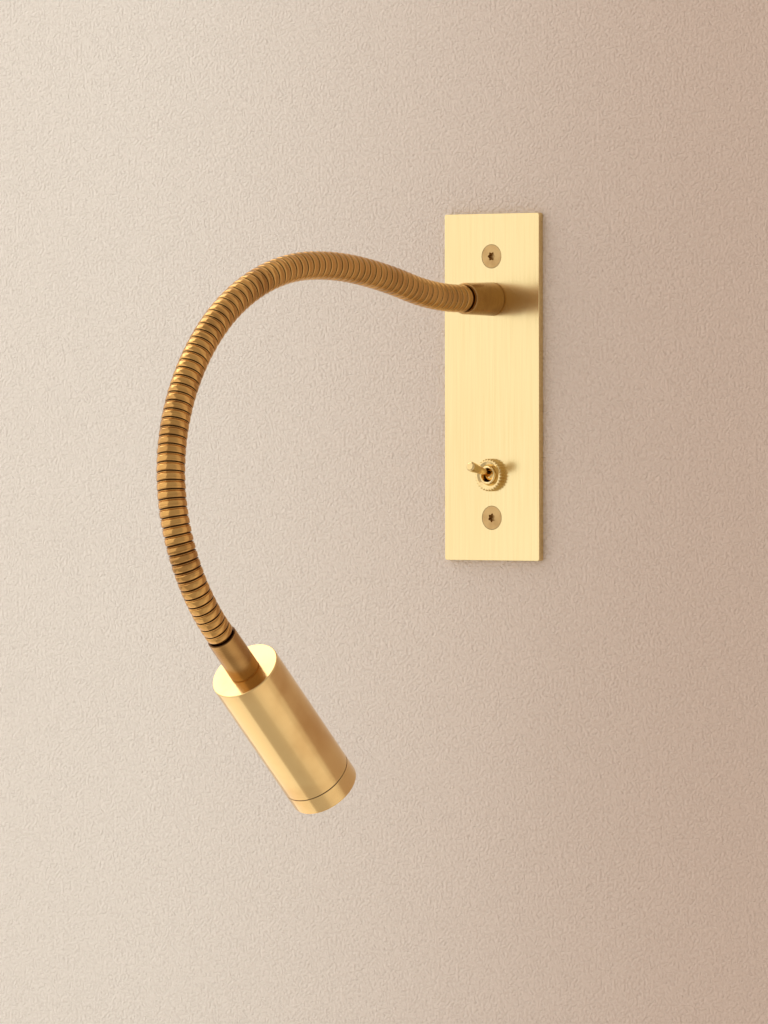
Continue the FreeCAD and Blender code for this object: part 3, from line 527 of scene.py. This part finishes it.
plateLow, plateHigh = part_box("wall_plate")
plate = {
    "thickness": (plateHigh.y - plateLow.y) / mm,
    "corner": 1.0,
    "edge": 0.25,
    "screwHeight": 56.5,
    "screwRim": 0.3,
    "sinkGap": 0.12,
    "armHole": 5.05,
    "armHeight": 38.0,
    "switchHole": 4.0,
    "switchHeight": -38.0,
    "cutFrom": -1,  # the heights between which the cutters run, from the plate's back
    "cutTo": 5,
}
screwSizes = {
    "head": 5.1, "shank": 2.5, "length": 14.0, "point": 2.0, "pointLength": 1,
    "recessDepth": 1.8, "recessCore": 1.42, "recessTip": 1.97,
    "lobes": 6, "secondTurn": 23,
}


def buildPlate():
    deselectAll()
    middle, size = (plateLow + plateHigh) / 2, plateHigh - plateLow
    bpy.ops.mesh.primitive_cube_add(size=1, location=middle, scale=size)
    piece = nameIt(bpy.context.object, "plate_front")
    bpy.ops.object.transform_apply(location=True, rotation=True, scale=True)
    pick(piece, "EDGE", lambda spot, way: abs(way.y) > size.y / 2)
    bpy.ops.mesh.bevel(offset=plate["corner"] * mm, segments=6, affect="EDGES")
    front = plateLow.y
    pick(piece, "EDGE", lambda spot, way: spot.y < front + near and abs(way.y) < near)
    bpy.ops.mesh.bevel(offset=plate["edge"] * mm, segments=2, affect="EDGES")
    leaveEdit()
    rim = screwSizes["head"] + plate["sinkGap"]
    hole = screwSizes["shank"] + plate["sinkGap"]
    flare = plate["thickness"] - plate["screwRim"]
    low, high = plate["cutFrom"], plate["cutTo"]
    for side in (1, -1):
        sink = [(0, low), (hole, low), (hole, flare - rim + hole), (rim, flare), (rim, high), (0, high)]
        cutter = turn("sinkCutter", sink, 72)
        settle(cutter, onPlate(0, side * plate["screwHeight"]))
        cutAway(piece, cutter)
    for name in ("arm", "switch"):
        radius, height = plate[name + "Hole"], plate[name + "Height"]
        cutter = turn("holeCutter", [(0, low), (radius, low), (radius, high), (0, high)], 72)
        settle(cutter, onPlate(0, height))
        cutAway(piece, cutter)
    smooth(piece, 30)
    coat(piece, plateFinish())
    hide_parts("wall_plate")
    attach(piece, "wall_unit")


# A six-lobe prism: a circle whose vertices are drawn in between the lobes, then extruded.
def recessCutter():
    mid = (screwSizes["recessTip"] + screwSizes["recessCore"]) / 2
    wave = (screwSizes["recessTip"] - screwSizes["recessCore"]) / 2 / mid
    lobes = screwSizes["lobes"]
    lobePitch = math.radians(360 / lobes)
    deselectAll()
    bpy.ops.mesh.primitive_circle_add(vertices=72, radius=mid * mm, fill_type="NGON")
    cutter = nameIt(bpy.context.object, "recessCutter")
    for step in range(7):  # seven rows of vertices from a lobe's tip to the valley beside it
        turnAngle = math.radians(5 * step)

        def onRow(spot):
            angle = math.atan2(spot.y, spot.x) % lobePitch
            offRow = min(abs(angle - turnAngle), abs(lobePitch - angle - turnAngle))
            return offRow < math.radians(1)

        grow = 1 + wave * math.cos(lobes * turnAngle)
        pick(cutter, "VERT", onRow)
        bpy.ops.transform.resize(value=(grow, grow, 1), center_override=(0, 0, 0))
    pick(cutter, "FACE", lambda spot, way: True)
    depth = screwSizes["recessDepth"] * mm
    bpy.ops.mesh.extrude_region_move(TRANSFORM_OT_translate={"value": (0, 0, -depth)})
    pick(cutter, "FACE", lambda spot, way: spot.z > -depth / 4 and abs(spot.x) < depth / 8)
    bpy.ops.transform.translate(value=(0, 0, 1 * mm))
    bpy.ops.mesh.select_all(action="SELECT")
    bpy.ops.mesh.normals_make_consistent(inside=False)
    leaveEdit()
    return cutter


def buildScrews():
    head, shank, length = screwSizes["head"], screwSizes["shank"], screwSizes["length"]
    rim = plate["screwRim"]
    material = turnedFinish("screwBrass", screwBrass, -length)
    profile = [
        (0, -length), (screwSizes["point"], -length), (shank, screwSizes["pointLength"] - length),
        (shank, shank - head - rim),
        (head, -rim), (head, 0), (0, 0),
    ]
    first = turn("plate_screw_top", profile)
    softenEdges(first, 0.12)
    cutAway(first, recessCutter())
    smooth(first, 30)
    keepOwnSpots(first)
    second = first.copy()
    second.data = first.data.copy()
    bpy.context.collection.objects.link(second)
    nameIt(second, "plate_screw_bottom")
    turned = Matrix.Rotation(math.radians(screwSizes["secondTurn"]), 4, "Z")
    settle(first, onPlate(plate["thickness"], plate["screwHeight"]))
    settle(second, onPlate(plate["thickness"], -plate["screwHeight"]) @ turned)
    for piece in (first, second):
        coat(piece, material)
        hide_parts("plate_screws")
        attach(piece, "wall_unit")


buildPlate()
buildScrews()
print("plate and screws done")

collar = {
    "length": 20.0, "base": 7.25, "tip": 6.8, "socket": 5.62, "socketDepth": 8.0, "hole": 5.05,
    "chamfer": 0.3, "footInset": 0.3, "footHeight": 0.35, "footTop": 0.5,
}


def buildCollar():
    length, chamfer = collar["length"], collar["chamfer"]
    foot = collar["base"] - collar["footInset"]
    profile = [
        (collar["hole"], 0), (foot, 0), (foot, collar["footHeight"]), (collar["base"], collar["footTop"]),
        (collar["tip"], length - chamfer), (collar["tip"] - chamfer, length), (collar["socket"], length),
        (collar["socket"], length - collar["socketDepth"]), (collar["hole"], length - collar["socketDepth"]),
        (collar["hole"], 0),
    ]
    place = onPlate(plate["thickness"], plate["armHeight"])
    piece = turnedPiece("arm_collar_turned", profile, place, finishes["collarBrass"], 0.1)
    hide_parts("arm_collar")
    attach(piece, "wall_unit")


finishes["collarBrass"] = turnedFinish("collarBrass", collarBrass, 0.0)  # the painted seam shade is at each foot
buildCollar()

switch = {
    "height": plate["switchHeight"],
    "bushing": 3.95, "bushingBore": 2.95, "bushingBack": 3.6, "bushingFront": 6.75, "bushingChamfer": 0.3,
    "nut": 7.05, "nutThickness": 3.0, "nutDish": 5.65, "dishDepth": 0.5, "flutes": 30, "fluteDepth": 0.6,
    "fluteStart": 0.9, "fluteEnd": 0.375,  # shares of the pitch from one flute to the next
    "leverTilt": 13.7, "leverLength": 16.8, "leverBall": 2.8, "leverNeck": 1.3, "leverTip": 2.1,
    "leverTail": [(0, -7.1), (0.55, -6.95), (0.8, -6.4)], "leverWaist": 4.6,
    "coneEnd": 3.7, "tipLength": 3.3, "tipRound": 0.9,  # from the lever's far end
}


def buildNut():
    hole, outer, thick = switch["bushing"] + 0.05, switch["nut"], switch["nutThickness"]
    profile = [
        (hole, 0), (outer - 0.15, 0), (outer, 0.2), (outer, thick - 0.4), (outer - 0.35, thick - 0.02),
        (outer - 0.5, thick), (switch["nutDish"] + 0.15, thick), (switch["nutDish"] - 0.1, thick - 0.12),
        (hole, thick - switch["dishDepth"]), (hole, 0),
    ]
    columns = 4 * switch["flutes"]
    piece = turn("switch_nut_fluted", profile, columns)
    flute = 2 * math.pi / switch["flutes"]
    bottom = outer - switch["fluteDepth"]

    def inFlute(spot):
        share = (math.atan2(spot.y, spot.x) % flute) / flute
        inShare = share < switch["fluteEnd"] or share > switch["fluteStart"]
        return math.hypot(spot.x, spot.y) > bottom * mm and inShare

    pick(piece, "VERT", inFlute)
    inward = bottom / outer
    bpy.ops.transform.resize(value=(inward, inward, 1), center_override=(0, 0, thick / 2 * mm))
    leaveEdit()
    softenEdges(piece, 0.08)
    smooth(piece, 35)
    keepOwnSpots(piece)
    settle(piece, onPlate(plate["thickness"], switch["height"]))
    return piece


def buildSwitch():
    front, back, outer, bore = (
        switch["bushingFront"], switch["bushingBack"], switch["bushing"], switch["bushingBore"]
    )
    chamfer = switch["bushingChamfer"]
    bushing = turnedPiece(
        "switch_bushing_turned",
        [
            (bore, -back), (outer, -back), (outer, front - chamfer), (outer - chamfer, front),
            (bore + 0.25, front), (bore, front - 0.25), (bore, -back),
        ],
        onPlate(0, switch["height"]), finishes["switchBrass"], 0.08,
    )
    ball, neck, tip = switch["leverBall"], switch["leverNeck"], switch["leverTip"]
    length, rounding = switch["leverLength"], switch["tipRound"]
    arcs = [math.radians(angle) for angle in range(-60, 61, 12)]
    profile = list(switch["leverTail"])
    profile += [(ball * math.cos(angle), ball * math.sin(angle)) for angle in arcs]
    profile += [(neck, ball + 0.1), (neck, switch["leverWaist"])]
    profile += [(tip - 0.1, length - switch["coneEnd"]), (tip, length - switch["tipLength"])]
    profile += [
        (tip - rounding * (1 - math.cos(angle)), length - rounding * (1 - math.sin(angle)))
        for angle in [math.radians(15 * step) for step in range(7)]
    ]
    profile.append((0, length))
    lever = turnedPiece(
        "switch_lever_turned", profile, onPlate(plate["thickness"], switch["height"], switch["leverTilt"]),
        finishes["switchBrass"], 0.1, 64,
    )
    nut = buildNut()
    coat(nut, finishes["switchBrass"])
    for piece, node, body in (
        (bushing, "switch_bushing", "wall_unit"), (nut, "switch_nut", "wall_unit"),
        (lever, "switch_lever", "toggle_lever"),
    ):
        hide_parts(node)
        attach(piece, body)


finishes["switchBrass"] = turnedFinish("switchBrass", switchBrass, seamShade["nowhere"])
buildSwitch()
print("collar and switch done")

hose = {
    "bore": 4.0,
    "pitch": 3.665,
    "firstGroove": 1.8,  # from the collar's tip to the middle of the first groove
    "ribs": 86,
    # one rib from groove to groove as (distance, radius): the strip's curled edge, then its band
    "outline": [
        (0.0, 5.3), (0.14, 5.32), (0.22, 5.66), (0.38, 5.88), (0.58, 5.86), (0.72, 5.62), (0.80, 5.56),
        (0.90, 5.76), (1.08, 5.93), (1.45, 5.99), (2.1, 6.0), (2.85, 5.98), (3.22, 5.89), (3.42, 5.7),
        (3.53, 5.35), (3.665, 5.3),
    ],
    "insert": 8.0,
    "length": 318.0,
    "straight": 4.0,
    "sides": 56,
    "jointRibs": [11, 20, 29, 38, 47, 56, 65, 74],  # ribs before each joint's groove
    "jointReach": 3.07,  # from the groove to the middle of the joint's hidden ball
    "bendReach": 14.9,  # to each side of the joint's middle
    "splitRibs": [7, 16, 25, 34, 43, 52, 61, 70, 79],  # ribs before each meeting of two sleeves
    # how far the arm has risen from straight out, and turned to +x, at each joint and end
    "headings": [
        (0.0, 0.0), (13.5, 0.0), (8.5, -3.5), (-2.5, -4.0), (-24.0, -6.0),
        (-44.0, -2.5), (-61.5, 1.0), (-77.5, 7.5), (-99.5, 10.5), (-135.4, 2.2),
    ],
}
bodyChain = ["wall_unit"] + [f"arm_link_{number}" for number in range(2, 9)] + ["head_unit"]


def headingOf(rise, side):
    rise, side = math.radians(rise), math.radians(side)
    level = math.cos(side)
    return Vector((math.sin(side), -math.cos(rise) * level, math.sin(rise) * level))


# The arm's middle line as one bezier curve: a straight start, nine arcs and a straight end.
# Each knot is its distance from the collar's tip, its place and the heading there.
def armKnots():
    straight, length = hose["straight"], hose["length"]
    marks = [hose["firstGroove"] + hose["pitch"] * ribs for ribs in hose["jointRibs"]]
    distances = [0.0, straight] + marks + [length - straight, length]
    turns = [hose["headings"][0]] + hose["headings"] + [hose["headings"][-1]]
    ways = [headingOf(*angles) for angles in turns]
    tip = plate["thickness"] + collar["length"]
    knots = [(0.0, Vector((0, -tip, plate["armHeight"])), ways[0])]
    for distance, way in zip(distances[1:], ways[1:]):
        before, point, heading = knots[-1]
        angle = heading.angle(way)
        chord = distance - before
        if angle > straightAngle:
            chord *= math.sin(angle / 2) / (angle / 2)
        knots.append((distance, point + (heading + way).normalized() * chord, way))
    return knots


def handleLength(before, after):
    angle = before[2].angle(after[2])
    length = after[0] - before[0]
    if angle < straightAngle:
        return length / 3
    return 4 / 3 * math.tan(angle / 4) * length / angle


knots = armKnots()


def armCurve():
    deselectAll()
    bpy.ops.curve.primitive_bezier_curve_add()
    curve = bpy.context.object
    curve.data.resolution_u = 64
    spline = curve.data.splines[0]
    spline.bezier_points.add(len(knots) - 2)
    for number, (point, (_, place, way)) in enumerate(zip(spline.bezier_points, knots)):
        before = knots[max(number - 1, 0)]
        after = knots[min(number + 1, len(knots) - 1)]
        point.handle_left_type = point.handle_right_type = "FREE"
        point.co = place * mm
        back = handleLength(before, knots[number]) if number else 1.0
        ahead = handleLength(knots[number], after) if number < len(knots) - 1 else 1.0
        point.handle_left = (place - way * back) * mm
        point.handle_right = (place + way * ahead) * mm
    return curve


# One rib and its stretch of bore, as two open rings of faces that repeat along z.
def ribMaster():
    outline, pitch = [(radius, height) for height, radius in hose["outline"]], hose["pitch"]
    deselectAll()
    bpy.ops.mesh.primitive_circle_add(vertices=hose["sides"], radius=outline[0][0] * mm)
    master = nameIt(bpy.context.object, "ribMaster")
    pick(master, "VERT", lambda spot: True)
    for (radius, height), (nextRadius, nextHeight) in zip(outline, outline[1:]):
        step = (0, 0, (nextHeight - height) * mm)
        bpy.ops.mesh.extrude_region_move(TRANSFORM_OT_translate={"value": step})
        grow = nextRadius / radius
        bpy.ops.transform.resize(value=(grow, grow, 1), center_override=(0, 0, nextHeight * mm))
    bpy.ops.mesh.select_all(action="DESELECT")
    bpy.ops.mesh.primitive_circle_add(vertices=hose["sides"], radius=hose["bore"] * mm)
    bpy.ops.mesh.extrude_region_move(TRANSFORM_OT_translate={"value": (0, 0, pitch * mm)})
    leaveEdit()
    return master


def copyOf(master, name):
    piece = master.copy()
    piece.data = master.data.copy()
    bpy.context.collection.objects.link(piece)
    deselectAll()
    piece.select_set(True)
    bpy.context.view_layer.objects.active = piece
    return nameIt(piece, name)


# Pulls both end loops of the tube (skin and bore) on by a plain stretch.
def extendEnd(piece, end, reach):
    pick(piece, "VERT", lambda spot: abs(spot.z - end) < near)
    bpy.ops.mesh.extrude_region_move(TRANSFORM_OT_translate={"value": (0, 0, reach)})
    leaveEdit()


def closeEnd(piece, end):
    pick(piece, "VERT", lambda spot: abs(spot.z - end) < near)
    bpy.ops.mesh.bridge_edge_loops()
    leaveEdit()


def bendAlongArm(piece, curve):
    applyModifier(piece, "CURVE", {"object": curve, "deform_axis": "POS_Z"})


def hosePiece(master, curve, name, firstRib, lastRib):
    piece = copyOf(master, name)
    pitch = hose["pitch"] * mm
    applyModifier(piece, "ARRAY", {
        "count": lastRib - firstRib, "use_relative_offset": False, "use_constant_offset": True,
        "constant_offset_displace": (0, 0, pitch), "use_merge_vertices": True, "merge_threshold": merging,
    })
    start = hose["firstGroove"] * mm + firstRib * pitch
    settle(piece, Matrix.Translation((0, 0, start)))
    end = start + (lastRib - firstRib) * pitch
    if firstRib == 0:
        extendEnd(piece, start, -(start + hose["insert"] * mm))
        start = -hose["insert"] * mm
    if lastRib == hose["ribs"]:
        extendEnd(piece, end, (hose["length"] + hose["insert"]) * mm - end)
        end = (hose["length"] + hose["insert"]) * mm
    closeEnd(piece, start)
    closeEnd(piece, end)
    bpy.ops.object.mode_set(mode="EDIT")
    bpy.ops.mesh.select_all(action="SELECT")
    bpy.ops.mesh.normals_make_consistent(inside=False)
    leaveEdit()
    bpy.ops.object.shade_smooth_by_angle(angle=math.radians(50))
    keepOwnSpots(piece)
    bendAlongArm(piece, curve)
    coat(piece, finishes["hoseBrass"])
    return piece


lead = {
    "radius": 1.5,
    "start": -32.0,  # both from the collar's tip, along the arm
    "end": 388.0,  # inside the head, 8 mm short of the LED board
    "sides": 20,
    "step": 3.0,
}


# A length of the lead inside the hose, from one split of the hose to the next.
def leadPiece(curve, name, start, end):
    deselectAll()
    bpy.ops.mesh.primitive_circle_add(
        vertices=lead["sides"], radius=lead["radius"] * mm, location=(0, 0, start * mm), fill_type="NGON"
    )
    piece = nameIt(bpy.context.object, name)
    bpy.ops.object.transform_apply(location=True, rotation=True, scale=True)
    steps = math.ceil((end - start) / lead["step"])
    bpy.ops.object.mode_set(mode="EDIT")
    bpy.ops.mesh.select_all(action="SELECT")
    for step in range(steps):
        bpy.ops.mesh.extrude_region_move(
            TRANSFORM_OT_translate={"value": (0, 0, (end - start) / steps * mm)}
        )
    bpy.ops.mesh.select_all(action="SELECT")
    bpy.ops.mesh.normals_make_consistent(inside=False)
    leaveEdit()
    bpy.ops.object.shade_smooth_by_angle(angle=math.radians(40))
    bendAlongArm(piece, curve)
    coat(piece, finishes["leadJacket"])
    return piece


def armPlace(distance):
    for before, after in zip(knots, knots[1:]):
        if distance <= after[0] + 0.001:
            break
    angle = before[2].angle(after[2])
    share = (distance - before[0]) / (after[0] - before[0])
    if angle < straightAngle:
        return before[1] + before[2] * (distance - before[0])
    way = before[2].slerp(after[2], share)
    chord = (distance - before[0]) * math.sin(angle * share / 2) / max(angle * share / 2, 1e-9)
    return before[1] + (before[2] + way).normalized() * chord


# Sleeves cross the joints and are left with their transform baked, on no body; the two end lengths ride on
# one body each.
def dressLength(piece, number, nodeName):
    if 0 < number < len(bodyChain):
        joint = hose["firstGroove"] + hose["pitch"] * hose["jointRibs"][number - 1] + hose["jointReach"]
        ends = [armPlace(joint + side * hose["bendReach"]) * mm for side in (-1, 1)]
        bodyChain[number - 1]
        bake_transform(piece)
        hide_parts(f"{nodeName}_{number}", f"{nodeName}_{number + 1}")
    elif number == 0:
        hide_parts(f"{nodeName}_1")
        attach(piece, "wall_unit")
    else:
        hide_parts(f"{nodeName}_9")
        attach(piece, "head_unit")


def buildArm():
    curve = armCurve()
    master = ribMaster()
    splits = [0] + hose["splitRibs"] + [hose["ribs"]]
    for number, (firstRib, lastRib) in enumerate(zip(splits, splits[1:])):
        start = hose["firstGroove"] + hose["pitch"] * firstRib
        end = hose["firstGroove"] + hose["pitch"] * lastRib
        skin = hosePiece(master, curve, f"hose_length_{number + 1}", firstRib, lastRib)
        dressLength(skin, number, "gooseneck")
        leadStart = lead["start"] if firstRib == 0 else start
        leadEnd = lead["end"] if lastRib == hose["ribs"] else end
        inner = leadPiece(curve, f"lead_length_{number + 1}", leadStart, leadEnd)
        dressLength(inner, number, "lamp_lead")
    bpy.data.objects.remove(master)
    bpy.data.objects.remove(curve)


finishes["hoseBrass"] = hoseFinish()
buildArm()
print("gooseneck done")

head = {
    "ferrule": 20.5, "ferruleTop": 6.4, "ferruleBase": 6.6, "socket": 5.62, "hole": 5.05,
    "radius": 15.0, "wall": 1.6, "top": 3.0, "body": 63.5, "edge": 0.3,
    "bezel": 8.5, "mouth": 10.8, "lip": 1.8, "spigot": 5.5, "spigotWall": 1.0, "seam": 0.28,
    "lensDepth": 10.0, "lensThroat": 4.6, "lensRim": 1.5, "lensWell": 3.9, "wellDepth": 3.5, "wellTop": 3.1,
    "lensGap": 1.0, "lensDraft": 0.1, "wellBulge": 0.9, "fit": 0.1, "socketDepth": 8.0,
    "ferruleEdge": 0.3, "ferruleStep": 0.25, "stepHeight": 0.5,
}


# The head's place: z runs on along the arm's last heading, x stays near the room's x.
def headPlace():
    _, place, way = knots[-1]
    side = (Vector((1, 0, 0)) - way * way.x).normalized()
    up = way.cross(side)
    turned = Matrix((side, up, way)).transposed().to_4x4()
    return Matrix.Translation(place * mm) @ turned


def buildHead():
    place = headPlace()
    brass = finishes["headBrass"]
    face = head["ferrule"]
    seam = face + head["body"]
    mouth = seam + head["bezel"]
    radius, edge, gap = head["radius"], head["edge"], head["seam"]
    inside = radius - head["wall"]
    shoulder = mouth - head["lip"]
    spigotOut = inside - head["fit"]
    spigotIn = spigotOut - head["spigotWall"]
    lensFront = shoulder - head["lensGap"]
    lensBack = lensFront - head["lensDepth"]
    lensRadius = spigotIn - head["fit"]
    lensFlange = lensFront - head["lensRim"]
    socket, hole, socketEnd = head["socket"], head["hole"], head["socketDepth"]
    top, base, bevel = head["ferruleTop"], head["ferruleBase"], head["ferruleEdge"]
    neck = base - head["ferruleStep"]
    ferrule = turnedPiece(
        "head_ferrule_turned",
        [
            (socket, 0), (top - bevel, 0), (top, bevel), (base, face - head["stepHeight"]),
            (neck, face - bevel), (neck, face), (hole, face), (hole, socketEnd), (socket, socketEnd),
            (socket, 0),
        ],
        place, finishes["collarBrass"], 0.1,
    )
    housing = turnedPiece(
        "head_housing_turned",
        [
            (hole, face), (radius - edge, face), (radius, face + edge), (radius, seam - gap),
            (radius - gap, seam), (inside, seam), (inside, face + head["top"]), (hole, face + head["top"]),
            (hole, face),
        ],
        place, brass, 0.12, 128,
    )
    bezel = turnedPiece(
        "bezel_ring_turned",
        [
            (spigotIn, seam - head["spigot"]), (spigotOut, seam - head["spigot"]), (spigotOut, seam),
            (radius - gap, seam), (radius, seam + gap), (radius, mouth - edge), (radius - edge, mouth),
            (head["mouth"] + head["lip"] / 2, mouth), (head["mouth"], shoulder), (spigotIn, shoulder),
            (spigotIn, seam - head["spigot"]),
        ],
        place, brass, 0.12, 128,
    )
    bulgeFoot = lensBack + head["wellDepth"]
    bulge = [
        (head["wellTop"] * math.cos(angle), bulgeFoot + head["wellBulge"] * math.sin(angle))
        for angle in [math.radians(15 * step) for step in range(7)]
    ]
    lens = turnedPiece(
        "lens_moulded",
        [
            (head["lensWell"], lensBack), (head["lensThroat"], lensBack),
            (lensRadius - head["lensDraft"], lensFlange), (lensRadius, lensFlange),
            (lensRadius, lensFront), (0, lensFront), *reversed(bulge), (head["lensWell"], lensBack),
        ],
        place, lensFinish(), 0.05,
    )
    for piece, node, slot in (
        (ferrule, "head_ferrule", "collar_brass"), (housing, "head_housing", "head_brass"),
        (bezel, "bezel_ring", "head_brass"), (lens, "lens", "lens_clear"),
    ):
        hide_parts(node)
        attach(piece, "head_unit")


# the painted seam shade falls where the housing meets the bezel
finishes["headBrass"] = turnedFinish("headBrass", headBrass, head["ferrule"] + head["body"])
buildHead()
print("head done")

wall = {
    "size": 0.62,
    "gap": 0.1,  # behind the plate's back
    "lap": 1.5,  # how far the plate laps over the hole's edge
    # painted light: the plaster's colour runs from lit on the left to shaded on the right
    "litLeftColour": tone(250, 240, 228),
    "shadedRightColour": tone(220, 195, 178),
    "shadeFrom": -0.24,  # metres across, from the lit left colour to the shaded right one: a painted falloff of the light
    "shadeTo": 0.16,
    "stipple": 800.0,
    "bump": 1.0,
    "bumpDepth": 1.4,
    "grain": 0.5,
    "roughness": 0.85,
}
softboxes = {
    "keyBox": {
        "azimuth": -50, "elevation": 12, "distance": 1.5,
        "width": 3.4, "height": 2.0, "brightness": 0.7,
    },
    "lowBox": {
        "azimuth": -80, "elevation": -55, "distance": 1.3,
        "width": 1.7, "height": 1.12, "brightness": 0.5,
    },
    "fillBox": {
        "azimuth": 76, "elevation": -40, "distance": 1.6,
        "width": 1.6, "height": 1.3, "brightness": 0.15,
    },
    "topBox": {
        "azimuth": -88, "elevation": 48, "distance": 1.5,
        "width": 1.2, "height": 1.0, "brightness": 1.8,
    },
    "rearBox": {
        "azimuth": 180, "elevation": 15, "distance": 1.6,
        "width": 1.6, "height": 1.4, "brightness": 0.5,
    },
}
room = {
    "background": tone(240, 234, 228),
    "wallSide": tone(236, 222, 206),
    "roomSide": tone(198, 191, 182),
    "sideBlend": (-0.25, 0.1),  # how far a direction leans to the wall, between the two sides
    "target": (0.0, -0.1, 0.0),
}


# Pale plaster, seen only from the room: from behind, the camera looks through it. Its colour carries painted
# light, lighter on the left and shaded to the right.
def buildWall():
    deselectAll()
    bpy.ops.mesh.primitive_plane_add(
        size=wall["size"], location=(0, wall["gap"] * mm, 0), rotation=(math.radians(90), 0, 0)
    )
    panel = nameIt(bpy.context.object, "wallPanel")
    bpy.ops.object.transform_apply(location=True, rotation=True, scale=True)
    wide, tall = ((plateHigh - plateLow) - 2 * wall["lap"] * mm * Vector((1, 0, 1))).xz
    pick(panel, "FACE", lambda spot, way: True)
    bpy.ops.mesh.inset(thickness=(wall["size"] - tall) / 2)  # the hole for the back box
    bpy.ops.transform.resize(value=(wide / tall, 1, 1), center_override=(0, 0, 0))
    bpy.ops.mesh.delete(type="FACE")
    leaveEdit()
    material, start = newFinish("plaster")
    spot = objectSpot(start)
    stipple = noise(spot, wall["stipple"], 2.5)
    # painted light: lighter on the left and darker to the right, as the light falls off across the wall
    across = axesOf(spot)[0].between(wall["shadeFrom"], wall["shadeTo"])
    shade = across + (stipple - 0.5) * wall["grain"]
    plaster = start.node("BsdfPrincipled", None, {
        "Base Color": shade.blend(wall["litLeftColour"], wall["shadedRightColour"]),
        "Roughness": wall["roughness"],
        "Normal": bumped(stipple, wall["bump"], wall["bumpDepth"]),
    })
    behind = start.node("NewGeometry", output="Backfacing") * start.node("LightPath", output="Is Camera Ray")
    clear = start.node("BsdfTransparent")
    surface = start.node("MixShader", None, {0: behind, 1: plaster, 2: clear})
    start.node("OutputMaterial", None, {"Surface": surface})
    panel.data.materials.append(material)


def addSoftboxes():
    target = Vector(room["target"])
    for name, box in softboxes.items():
        azimuth, elevation = math.radians(box["azimuth"]), math.radians(box["elevation"])
        level = math.cos(elevation)
        way = Vector((math.sin(azimuth) * level, -math.cos(azimuth) * level, math.sin(elevation)))
        bpy.ops.object.light_add(type="AREA")
        lamp = nameIt(bpy.context.object, name)
        aim = way.to_track_quat("Z", "Y").to_matrix().to_4x4()
        lamp.matrix_world = Matrix.Translation(target + way * box["distance"]) @ aim
        lamp.data.shape = "RECTANGLE"
        lamp.data.size, lamp.data.size_y = box["width"], box["height"]
        lamp.data.energy = box["brightness"] * math.pi * box["width"] * box["height"]
        lamp.visible_camera = False


def addWorld():
    world = bpy.data.worlds.new("studio")
    bpy.context.scene.world = world
    world.use_nodes = True
    world.node_tree.nodes.clear()
    start = Signal(world.node_tree)
    toWall = axesOf(start.node("TexCoord", output="Generated"))[1]
    surroundings = toWall.between(*room["sideBlend"]).blend(room["roomSide"], room["wallSide"])
    seen = start.node("LightPath", output="Is Camera Ray")
    colour = seen.blend(surroundings, room["background"])
    sky = start.node("Background", None, {"Color": colour, "Strength": 1.0})
    start.node("OutputWorld", None, {"Surface": sky})


buildWall()
addSoftboxes()
addWorld()
bpy.context.scene.view_settings.view_transform = "Standard"
print("stage and lights done")
